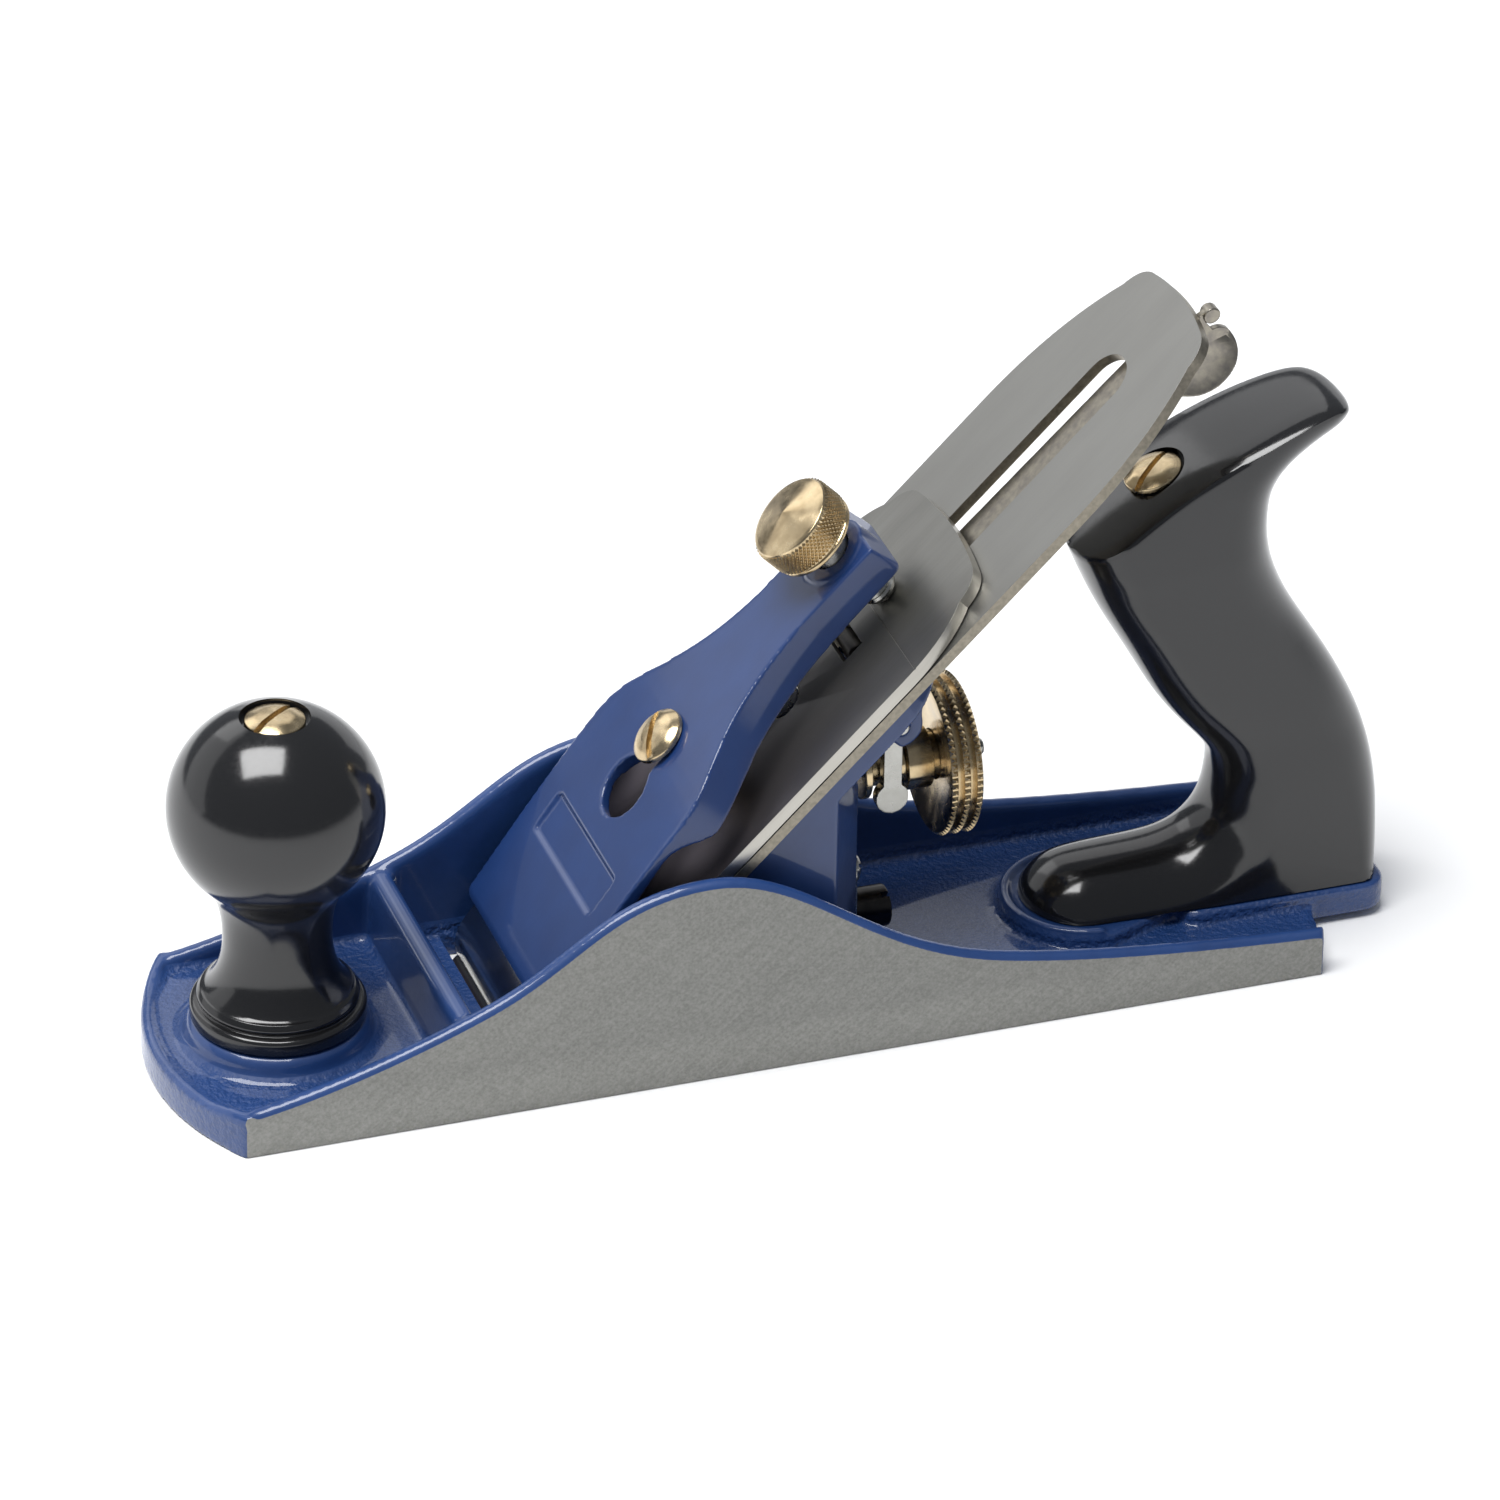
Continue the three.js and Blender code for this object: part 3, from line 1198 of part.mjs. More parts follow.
function leverCapScrew() {
  const under = leverCapTop - 0.6 + gap;
  const radius = leverCapScrewHead / 2;
  const shank = leverCapScrewShank / 2;
  const thread = leverCapScrewThread / 2;
  let screw = solid(turned([
    [0, bedFace - 17], [thread, bedFace - 17], [thread, bedFace + gap], [shank, bedFace + gap],
    [shank, under], [radius, under], [radius, under + 0.9], [radius * 0.86, under + 1.7],
    [radius * 0.5, under + 2.4], [0, under + 2.7],
  ], 20));
  const slot = new THREE.BoxGeometry(leverCapScrewHead + 2, 1.4, 4).rotateZ(0.9);
  screw = screw.subtract(solid(slot.translate(0, 0, under + 3)));
  return solid(toGeometry(screw).translate(leverCapScrewAt, 0, 0));
}

// ---- Thumbscrew -----------------------------------------------------------------------------

function thumbscrewShank() {
  const from = capIronLift + capIronThickness + gap;
  const radius = thumbShank / 2;
  return solid(turned([
    [0, from], [radius - 1.4, from], [radius, from + 1.4], [radius, thumbBase + 3],
    [0, thumbBase + 3],
  ]).translate(thumbscrewAt, 0, 0));
}

function thumbscrewHead() {
  const radius = thumbDiameter / 2;
  const top = thumbBase + thumbHeight;
  let head = solid(turned([
    [0, thumbBase], [radius - 0.9, thumbBase], [radius - 0.3, thumbBase + 0.5],
    [radius - 0.3, thumbBase + 1.1], [radius - 0.9, thumbBase + 1.3], [radius - 0.9, top - 0.7],
    [radius - 0.9, top - 0.1], [radius - 1.5, top + 0.1], [0, top + thumbCone],
  ], round));
  const teeth = alongZ(toothedShape(thumbDiameter, 0.6, thumbTeeth), thumbBase + 1.3, top - 0.5);
  head = head.add(solid(teeth));
  head = head.subtract(solid(rod(thumbShank + 2 * gap, 0, thumbBase + 3 + gap)));
  return solid(toGeometry(head).translate(thumbscrewAt, 0, 0));
}

// ---- Assembly -------------------------------------------------------------------------------

const plane = new THREE.Group();
plane.name = "smoothing_plane";

addPiece(plane, "body_casting", bodyCasting(), enamel);

const knob = new THREE.Group();
knob.position.set(station(knobFromToe), 0, 0);
plane.add(knob);
addPiece(knob, "front_knob", frontKnob(), blackPlastic);
const knobNut = addPiece(knob, "knob_nut", barrelNut(), brass);
knobNut.position.z = knobNutSeat + gap;
addPiece(knob, "knob_stud", solid(rod(boltDiameter, 3 + gap, knobNutSeat - 4.6)), brightSteel);

addPiece(plane, "rear_handle", rearHandle(), blackPlastic);
const bolt = new THREE.Group();
bolt.position.set(handleBoltFoot, 0, handlePadHeight);
bolt.rotation.y = -THREE.MathUtils.degToRad(handleBoltTilt);
plane.add(bolt);
const handleNut = addPiece(bolt, "handle_nut", barrelNut(), brass);
handleNut.position.z = handleNutSeat;
addPiece(bolt, "handle_stud", solid(rod(boltDiameter, -4, handleNutSeat - 5)), brightSteel);

addPiece(plane, "frog", frogCasting(), enamel);
for (const [side, y] of [["left", -frogScrewSpread / 2], ["right", frogScrewSpread / 2]]) {
  const screw = addPiece(plane, "frog_screw_" + side, frogScrew(), brightSteel);
  screw.position.set(station(frogScrewFromToe), y, 0);
  const washer = addPiece(plane, "frog_washer_" + side, frogWasherPiece(), brightSteel);
  washer.position.set(station(frogScrewFromToe), y, 0);
}

addPiece(plane, "frog_adjusting_screw", frogAdjustingScrew(), brightSteel);
addPiece(plane, "frog_adjusting_clip", frogAdjustingClip(), brightSteel);
addPiece(plane, "clip_screw", clipScrew(), brightSteel);

const adjuster = new THREE.Group();
adjuster.position.z = studHeight;
plane.add(adjuster);
addPiece(adjuster, "depth_stud", depthStud(), brightSteel);
addPiece(adjuster, "depth_collar", depthCollar(), brass);
addPiece(adjuster, "depth_wheel", depthWheel(), brass);

const yokeGroup = new THREE.Group();
yokeGroup.position.set(station(yokePivotFromToe), 0, yokePivotHeight);
plane.add(yokeGroup);
addPiece(yokeGroup, "yoke", yokePiece(), brightSteel);
addPiece(yokeGroup, "yoke_pin", yokePin(), brightSteel);

// Everything that lies on the bed is drawn flat and turned up with this group.
const bed = new THREE.Group();
bed.position.x = edgeX;
bed.rotation.y = -bedRadians;
plane.add(bed);
addPiece(bed, "cutting_iron", cuttingIron(), brightSteel);
addPiece(bed, "cap_iron", capIron(), brightSteel);
addPiece(bed, "cap_iron_screw", capIronScrew(), brightSteel);
addPiece(bed, "lateral_lever", lateralLever(), brightSteel);
addPiece(bed, "lateral_disc", lateralDiscPiece(), brightSteel);
addPiece(bed, "lateral_rivet", lateralRivet(), brightSteel);
addPiece(bed, "lever_cap", leverCap(), enamel);
addPiece(bed, "lever_cap_screw", leverCapScrew(), brass);
addPiece(bed, "thumbscrew_shank", thumbscrewShank(), brightSteel);
addPiece(bed, "thumbscrew_head", thumbscrewHead(), brass);

export default plane;
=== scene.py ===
from math import asin, atan2, cos, pi, radians, sin, sqrt, tan

import bmesh
import bpy
from mathutils import Matrix, Vector, kdtree


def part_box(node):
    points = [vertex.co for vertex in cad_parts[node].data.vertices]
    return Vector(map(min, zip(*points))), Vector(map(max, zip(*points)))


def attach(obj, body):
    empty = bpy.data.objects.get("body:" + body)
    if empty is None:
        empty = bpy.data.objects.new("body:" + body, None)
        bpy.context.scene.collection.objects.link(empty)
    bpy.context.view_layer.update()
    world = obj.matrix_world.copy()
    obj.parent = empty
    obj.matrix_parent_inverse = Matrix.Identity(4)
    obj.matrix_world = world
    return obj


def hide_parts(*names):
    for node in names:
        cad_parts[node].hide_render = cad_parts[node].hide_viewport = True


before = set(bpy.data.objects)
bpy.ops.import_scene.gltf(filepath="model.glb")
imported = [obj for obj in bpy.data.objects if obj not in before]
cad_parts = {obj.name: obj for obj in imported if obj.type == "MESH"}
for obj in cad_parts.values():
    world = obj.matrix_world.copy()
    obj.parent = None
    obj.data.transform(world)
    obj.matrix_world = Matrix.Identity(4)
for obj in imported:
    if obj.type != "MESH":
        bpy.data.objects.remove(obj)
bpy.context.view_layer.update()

# ---- Stage and camera -----------------------------------------------------------------------
# The plane stands on a pale studio table under large soft boxes, before a long lens almost two
# metres off, ahead of the toe on the left. Table and lamps are set out in metres, and the plane
# itself is drawn in millimetres.

edge_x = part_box("cutting_iron")[0].x * 1000  # the cutting edge: the origin of the bed


def linear(code):
    """The linear colour of an sRGB hex value."""
    parts = [int(code[i:i + 2], 16) / 255 for i in (1, 3, 5)]
    return [p / 12.92 if p <= 0.04045 else ((p + 0.055) / 1.055) ** 2.4 for p in parts] + [1.0]


def add(tree, kind, inputs=(), stops=(), **settings):
    """A node with its settings and colour stops. An input is a value, an output or a node, and
    of a node the first output is linked."""
    node = tree.nodes.new(kind)
    for name, value in settings.items():
        setattr(node, name, value)
    for i, (position, code) in enumerate(stops):
        node.color_ramp.elements[i].position = position
        node.color_ramp.elements[i].color = linear(code)
    for socket, value in dict(inputs).items():
        if isinstance(value, bpy.types.Node):
            value = value.outputs[0]
        if isinstance(value, bpy.types.NodeSocket):
            tree.links.new(value, node.inputs[socket])
        else:
            node.inputs[socket].default_value = value
    return node


def new_material(name):
    """An empty material and its node tree."""
    material = bpy.data.materials.new(name)
    material.use_nodes = True
    material.node_tree.nodes.clear()
    return material, material.node_tree


def surface(material, kind, inputs):
    """The material, once its shader is made and linked to its output."""
    shader = add(material.node_tree, kind, inputs)
    add(material.node_tree, "ShaderNodeOutputMaterial", {"Surface": shader})
    return material


def show(name, data):
    """An object for a mesh, curve, light or camera, linked to the scene."""
    obj = bpy.data.objects.new(name, data)
    bpy.context.collection.objects.link(obj)
    return obj


aim = Vector((edge_x + 51.6, 0, 45))
yaw, pitch, roll = radians(19.184), radians(30.904), radians(0.935)
back = Vector((-sin(yaw) * cos(pitch), -cos(yaw) * cos(pitch), sin(pitch)))
level = Vector((cos(yaw), -sin(yaw), 0))
rise = back.cross(level)
right = level * cos(roll) + rise * sin(roll)
up = rise * cos(roll) - level * sin(roll)
stand = (aim + right * 0.829 + up * 6.808 + back * 1929.7) / 1000
camera_data = bpy.data.cameras.new("camera")
camera_data.sensor_width = 36
camera_data.lens = 239.9
camera_data.clip_end = 50
camera = show("camera", camera_data)
camera.matrix_world = Matrix.Translation(stand) @ Matrix((right, up, back)).transposed().to_4x4()
bpy.context.scene.camera = camera
bpy.context.scene.view_settings.view_transform = "Standard"

# Matt white laminate: a plain surface that lifts the shadows.
laminate, _ = new_material("white_laminate")
surface(laminate, "ShaderNodeBsdfDiffuse", {"Color": linear("#f9f9f9")})
table = bpy.data.meshes.new("table")
half_table, table_top = 6, -0.0002
table.from_pydata([
    (x * half_table, y * half_table, table_top) for x, y in ((-1, -1), (1, -1), (1, 1), (-1, 1))
], [], [(0, 1, 2, 3)])
table.materials.append(laminate)
floor = show("table", table)

world = bpy.data.worlds.new("studio")
world.use_nodes = True
sky = world.node_tree.nodes["Background"].inputs
sky["Color"].default_value = linear("#c4cad4")
sky["Strength"].default_value = 0.36
bpy.context.scene.world = world


def soft_box(name, place, width, height, power):
    """A rectangular area light that faces the plane."""
    data = bpy.data.lights.new(name, "AREA")
    data.shape = "RECTANGLE"
    data.size = width
    data.size_y = height
    data.energy = power
    outward = (Vector(place) - Vector((0, 0, 0.04))).normalized()
    wide = level.cross(outward).cross(outward).normalized()
    turn = Matrix((-wide, wide.cross(outward), outward)).transposed().to_4x4()
    show(name, data).matrix_world = Matrix.Translation(place) @ turn


soft_box("overhead", (-0.45, -0.14, 1.5), 1.1, 0.85, 33)
soft_box("toe_wall", (-0.94, 0.79, 0.5), 2.0, 0.75, 3.6)
soft_box("far_wall", (0.7, 1.25, 0.3), 1.7, 0.55, 2.2)
soft_box("far_high", (-0.05, 0.95, 0.85), 1.2, 0.6, 2.3)

# ---- Body casting ---------------------------------------------------------------------------
# One grey-iron sand casting: sole, two cheeks, deck, frog seat, handle pad, and a tall rib from
# cheek to cheek before the mouth. It is stoved in blue enamel all over, then its sole and the
# outsides of its cheeks are ground bare.

toe_to_edge = 58.4
sole_width = 62
toe_arc = 9.8
heel_arc = 5
cheek_wall = 3.5
cheek_edge = 1.75
cheek_height = 44
toe_height = 9.2
heel_height = 9.6
floor_height = 4.5
deck_height = 6.5
lip_height = 7.5
grinding = 0.15  # stock that the grinding takes off
seat_height = 8.7
pad_height = 7.7
pad_overhang = 20.7
body_low, body_high = [corner * 1000 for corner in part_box("body_casting")]
toe_x = body_low.x + toe_arc
heel_x = body_high.x - pad_overhang


def station(distance):
    """X of a place measured back from the toe corners."""
    return edge_x - toe_to_edge + distance


def shift(x=0, y=0, z=0):
    """A move without a turn."""
    return Matrix.Translation((x, y, z))


def prism(points, low, high):
    """A closed bar with a drawn section, between two heights."""
    bm = bmesh.new()
    rings = [[bm.verts.new((x, y, z)) for x, y in points] for z in (low, high)]
    bm.faces.new(rings[0])
    bm.faces.new(rings[1])
    for i in range(len(points)):
        j = (i + 1) % len(points)
        bm.faces.new((rings[0][i], rings[0][j], rings[1][j], rings[1][i]))
    bmesh.ops.recalc_face_normals(bm, faces=bm.faces)
    return bm


def bar(start, end, half, low, high):
    """A square-cornered bar, even about the plane Y = 0."""
    return prism([(start, -half), (end, -half), (end, half), (start, half)], low, high)


def skin(rings):
    """A closed skin over rings of equally many points."""
    bm = bmesh.new()
    made = [[bm.verts.new(point) for point in ring] for ring in rings]
    count = len(rings[0])
    for a, b in zip(made, made[1:]):
        for i in range(count):
            j = (i + 1) % count
            bm.faces.new((a[i], a[j], b[j], b[i]))
    bm.faces.new(made[0])
    bm.faces.new(made[-1])
    bmesh.ops.remove_doubles(bm, verts=bm.verts, dist=1e-4)
    bmesh.ops.dissolve_degenerate(bm, edges=bm.edges, dist=1e-5)
    bmesh.ops.recalc_face_normals(bm, faces=bm.faces)
    return bm


def rounded(corners, closed=True, steps=5):
    """A line of corners, rounded where they have a radius as their third value."""
    points = []
    for i, (x, y, *radius) in enumerate(corners):
        here = Vector((x, y))
        if not radius or (not closed and i in (0, len(corners) - 1)):
            points.append((x, y))
            continue
        before = Vector(corners[i - 1][:2]) - here
        after = Vector(corners[(i + 1) % len(corners)][:2]) - here
        half = before.angle(after) / 2
        reach = min(radius[0] / tan(half), 0.49 * before.length, 0.49 * after.length)
        start = here + before.normalized() * reach
        end = here + after.normalized() * reach
        centre = here + (before.normalized() + after.normalized()).normalized() * reach / cos(half)
        first = atan2(start.y - centre.y, start.x - centre.x)
        sweep = atan2(end.y - centre.y, end.x - centre.x) - first
        sweep = (sweep + pi) % (2 * pi) - pi
        size = reach * tan(half)
        for k in range(steps + 1):
            angle = first + sweep * k / steps
            points.append((centre.x + size * cos(angle), centre.y + size * sin(angle)))
    return points


def turned(profile, steps=64):
    """A profile of radius and height turned about the Z axis. A third value rounds its corner."""
    bm = bmesh.new()
    made = []
    loop = profile[0][0] > 1e-6 and profile[-1][0] > 1e-6
    for radius, height in rounded(profile, loop):
        if radius < 1e-6:
            made.append([bm.verts.new((0, 0, height))])
            continue
        angles = [2 * pi * i / steps for i in range(steps)]
        made.append([bm.verts.new((radius * cos(a), radius * sin(a), height)) for a in angles])
    pairs = list(zip(made, made[1:])) + ([(made[-1], made[0])] if loop else [])
    for a, b in pairs:
        for i in range(steps):
            j = (i + 1) % steps
            corners = [a[i % len(a)], a[j % len(a)], b[j % len(b)], b[i % len(b)]]
            corners = list(dict.fromkeys(corners))
            if len(corners) > 2:
                bm.faces.new(corners)
    bmesh.ops.recalc_face_normals(bm, faces=bm.faces)
    return bm


def curve(line, *handles, end, steps=0):
    """Carries a line of points on to an end, along a curve with one or two handles."""
    start, first, second = line[-1], handles[0], handles[-1]
    if len(handles) == 1:
        first = [s + (c - s) * 2 / 3 for s, c in zip(start, first)]
        second = [e + (c - e) * 2 / 3 for e, c in zip(end, second)]
    steps = steps or 8 + 4 * len(handles)
    for k in range(1, steps + 1):
        t = k / steps
        weights = ((1 - t) ** 3, 3 * t * (1 - t) ** 2, 3 * t * t * (1 - t), t ** 3)
        pulls = list(zip(weights, (start, first, second, end)))
        line.append((sum(w * p[0] for w, p in pulls), sum(w * p[1] for w, p in pulls)))


def scratch_object(bm):
    """A passing object that carries modifiers or cuts another."""
    mesh = bpy.data.meshes.new("scratch")
    bm.to_mesh(mesh)
    bm.free()
    return show("scratch", mesh)


def baked(obj, *spent):
    """The object's evaluated mesh as a bmesh. The object and its spent tools are removed."""
    graph = bpy.context.evaluated_depsgraph_get()
    mesh = bpy.data.meshes.new_from_object(obj.evaluated_get(graph))
    bm = bmesh.new()
    bm.from_mesh(mesh)
    bpy.data.meshes.remove(mesh)
    for done in (obj, *spent):
        data = done.data
        bpy.data.objects.remove(done)
        (bpy.data.meshes if isinstance(data, bpy.types.Mesh) else bpy.data.curves).remove(data)
    return bm


def carved(bm, *tools, operation="DIFFERENCE"):
    """The solid after each tool is cut from it, or kept in common with it."""
    base = scratch_object(bm)
    others = [scratch_object(tool) for tool in tools]
    for other in others:
        cut = base.modifiers.new("cut", "BOOLEAN")
        cut.object = other
        cut.operation = operation
        cut.solver = "MANIFOLD"
    return baked(base, *others)


def joined(parts):
    """All the parts in one bmesh."""
    whole = bmesh.new()
    for part in parts:
        mesh = bpy.data.meshes.new("part")
        part.to_mesh(mesh)
        part.free()
        whole.from_mesh(mesh)
        bpy.data.meshes.remove(mesh)
    return whole


def cast(parts, grain, passes, triangles):
    """Closed shells fused into one casting with filleted corners, as sand gives them."""
    obj = scratch_object(joined(parts))
    melt = obj.modifiers.new("melt", "REMESH")
    melt.mode = "VOXEL"
    melt.voxel_size = grain
    ease = obj.modifiers.new("ease", "SMOOTH")
    ease.factor = 0.5
    ease.iterations = passes
    bm = baked(obj)
    bmesh.ops.triangulate(bm, faces=bm.faces)
    ratio = min(1, triangles / len(bm.faces))
    obj = scratch_object(bm)
    obj.modifiers.new("thin", "DECIMATE").ratio = ratio
    return baked(obj)


def moved(bm, matrix):
    bm.transform(matrix)
    return bm


def across(bm):
    """Stands a section drawn in X and Z upright, with its thickness running along Y."""
    return moved(bm, Matrix(((1, 0, 0, 0), (0, 0, -1, 0), (0, 1, 0, 0), (0, 0, 0, 1))))


def plate(outline, thickness, edge):
    """A flat outline with thickness, and with both of its edges rounded."""
    data = bpy.data.curves.new("plate", "CURVE")
    data.dimensions = "2D"
    data.fill_mode = "BOTH"
    data.extrude = thickness / 2 - edge
    data.bevel_depth = edge
    data.bevel_resolution = 3
    data.offset = -edge
    spline = data.splines.new("POLY")
    spline.points.add(len(outline) - 1)
    for point, (x, y) in zip(spline.points, outline):
        point.co = (x, y, 0, 1)
    spline.use_cyclic_u = True
    bm = baked(show("plate", data))
    bmesh.ops.remove_doubles(bm, verts=bm.verts, dist=1e-3)
    bmesh.ops.recalc_face_normals(bm, faces=bm.faces)
    return bm


def piece(name, bm, place, body, node, slot, *materials, crease=35):
    """A finished piece in metres. It stands for its CAD node and moves with a body."""
    bm.transform(Matrix.Scale(0.001, 4) @ place)
    mesh = bpy.data.meshes.new(name)
    bm.to_mesh(mesh)
    bm.free()
    mesh.shade_smooth()
    mesh.set_sharp_from_angle(angle=radians(crease))
    for material in materials:
        mesh.materials.append(material)
    obj = show(name, mesh)
    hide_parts(node)
    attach(obj, body)


def sole_plan(half, steps=24):
    """Plan of the sole: straight sides, an arc across the toe and a flatter one at the heel."""
    points = []
    for arc, tip, side in ((toe_arc, toe_x - toe_arc, -1), (heel_arc, heel_x + heel_arc, 1)):
        radius = ((sole_width / 2) ** 2 + arc ** 2) / (2 * arc)
        widest = asin(half / radius)
        for k in range(steps + 1):
            angle = side * widest * (2 * k / steps - 1)
            points.append((tip - side * radius * (1 - cos(angle)), radius * sin(angle)))
    return points


def cheek_outline():
    """Side view of a cheek: low at the toe, a hump beside the irons, low again at the heel."""
    peak, knee, waist = station(93), station(48), station(150)
    run = heel_x - waist
    end, start = heel_x + heel_arc + 3, toe_x - toe_arc - 3
    points = [(start, -3), (end, -3), (end, heel_height), (heel_x, heel_height)]
    curve(points, (heel_x - 0.36 * run, heel_height + 1.4), (waist + 0.26 * run, heel_height + 3.6),
          end=(waist, heel_height + 7.9))
    curve(points, (waist - 26, heel_height + 14.4), (peak + 19, cheek_height),
          end=(peak, cheek_height))
    curve(points, (peak - 21, cheek_height), (knee + 18, toe_height + 22),
          end=(knee, toe_height + 14.3))
    curve(points, (knee - 14, toe_height + 8.3), (toe_x + 16, toe_height + 2.5),
          end=(toe_x + 2.2, toe_height + 0.2))
    curve(points, (toe_x + 0.9, toe_height), (toe_x, toe_height - 0.8),
          end=(toe_x - 0.4, toe_height - 2.2), steps=6)
    return points + [(start, toe_height - 2.6)]


def bead_ring(centre, side, out, half, height, angle, steps):
    """One section of a round bead that runs in an arc about an upright line. Side is -1 or 1
    and flips the arc along X."""
    ring = []
    for step in range(steps):
        turn = 2 * pi * step / steps
        reach = out + half * cos(turn)
        ring.append((
            centre + side * reach * cos(angle), reach * sin(angle), height + half * sin(turn),
        ))
    return ring


def toe_lip(half):
    """A round bead along the toe, which climbs at each corner to meet the cheek."""
    radius = (half ** 2 + toe_arc ** 2) / (2 * toe_arc)
    bead, climb_run, places = 1.5, 12.4, 48
    widest = asin(half / radius) * 1.03
    rings = []
    for k in range(places + 1):
        angle = widest * (2 * k / places - 1)
        climb = max(0, (abs(radius * sin(angle)) - (half - climb_run)) / climb_run)
        height = lip_height + (toe_height - lip_height) * climb * climb * (3 - 2 * min(1, climb))
        rings.append(bead_ring(
            toe_x - toe_arc + radius, -1, radius - bead, bead, height - bead, angle, 16,
        ))
    return skin(rings)


half_sole = sole_width / 2
plan = sole_plan(half_sole + grinding)
inner = half_sole - cheek_wall
wall = cheek_wall + grinding
cheeks = []
for side in (-1, 1):
    cheek = across(plate(cheek_outline(), wall, cheek_edge))
    cheek = moved(cheek, shift(y=side * (inner + wall / 2)))
    cheeks.append(carved(cheek, prism(plan, -1, 60), operation="INTERSECT"))

deck_end = station(41.8)
deck = across(prism([
    (toe_x - 20, 1), (deck_end + 1.4, 1), (deck_end + 1.2, floor_height),
    (deck_end, deck_height - 0.7), (deck_end - 1, deck_height), (toe_x - 20, deck_height),
], -inner - 1, inner + 1))
deck = carved(deck, prism(plan, -1, 30), operation="INTERSECT")
rib_x = edge_x - 13.6
rib_half = 2.2
rib_top = 21.3
arch = [(
    rib_x + rib_half * cos(pi * k / 12), rib_top - rib_half + rib_half * sin(pi * k / 12),
) for k in range(13)]
rib_foot = [(rib_x - rib_half - 1.2, 1), (rib_x + rib_half + 0.4, 1)]
rib = across(prism(rib_foot + arch, -inner - 1, inner + 1))
knob_x = station(15.7)
boss_radius = 17.7
boss_top = 11.3
boss = moved(turned([
    (0, 1), (boss_radius + 3, 1), (boss_radius + 3, deck_height - 0.2),
    (boss_radius + 1.6, deck_height + 0.5), (boss_radius + 0.6, deck_height + 1.6),
    (boss_radius + 0.1, boss_top - 1), (boss_radius - 0.9, boss_top), (0, boss_top),
]), shift(knob_x))
frog_back = station(129.6)
ramp_foot = edge_x + 2.8 * sqrt(2)
seat_end = frog_back - 3.9
seat = across(prism([
    (ramp_foot + 1, 1), (ramp_foot + seat_height, seat_height), (seat_end, seat_height),
    (seat_end + 2, 1),
], -20.5, 20.5))
guide_end = frog_back - 3.1
guide_rib = bar(guide_end - 24, guide_end, 4.5, 1, 16.8)
pad_half, pad_round = 14, 14 + 2.6
pad_centre = body_high.x - 73.7 - 2.6 + pad_round
pad_plan = [(
    pad_centre + pad_round * cos(a), pad_round * sin(a),
) for a in [pi / 2 + pi * k / 32 for k in range(33)]]
pad_plan += rounded([
    (pad_centre + 16, -pad_half, 4), (body_high.x, -pad_half, 5),
    (body_high.x, pad_half, 5), (pad_centre + 16, pad_half, 4),
])
pad = moved(plate(pad_plan, pad_height - 1.2, 0.8), shift(z=(pad_height + 1.2) / 2))
lip_angles = [pi / 2 + pi * (k + 0.5) / 25 for k in range(25)]
pad_lip = skin([
    bead_ring(pad_centre, 1, pad_half + 1.5, 0.95, pad_height + 0.4, angle, 12)
    for angle in lip_angles
])

sole = prism(plan, -grinding * 2, floor_height)
casting = cast(
    [sole, *cheeks, deck, toe_lip(half_sole + grinding), rib, boss, seat, guide_rib, pad, pad_lip],
    grain=0.62, passes=7, triangles=170000,
)
left_by_grinding = bar(body_low.x - 5, body_high.x + 5, half_sole, 0, 60)
casting = carved(casting, left_by_grinding, operation="INTERSECT")
mouth = across(prism([
    (edge_x - 1.5, -1), (edge_x + 6.4, -1), (edge_x + 6.4, 0.8), (edge_x + 16.9, 11.3),
    (edge_x - 2.1, 11.3), (edge_x - 2.1, 1.6), (edge_x - 1.5, 0.8),
], -27, 27))


def rod(diameter, low, high, place=None, steps=32):
    """A round bar, or the tool for a bore."""
    radius = diameter / 2
    bm = turned([(0, low), (radius, low), (radius, high), (0, high)], steps)
    return moved(bm, place) if place else bm


along_x = Matrix.Rotation(pi / 2, 4, "Y")
bolt_lean = radians(20)
handle_bolt = shift(body_high.x - 14.4, 0, pad_height) @ Matrix.Rotation(-bolt_lean, 4, "Y")
setting_axis, setting_bore = shift(z=12.6) @ along_x, 5.6
clamp_axes = [shift(station(88), side * 13.5) for side in (-1, 1)]
bolt_bore = 6.6
casting = carved(
    casting, mouth, rod(bolt_bore, 3, 20, shift(knob_x)), rod(bolt_bore, -4.4, 40, handle_bolt),
    rod(setting_bore, guide_end - 17, guide_end + 1, setting_axis),
    *[rod(bolt_bore, 2, 20, axis) for axis in clamp_axes],
)


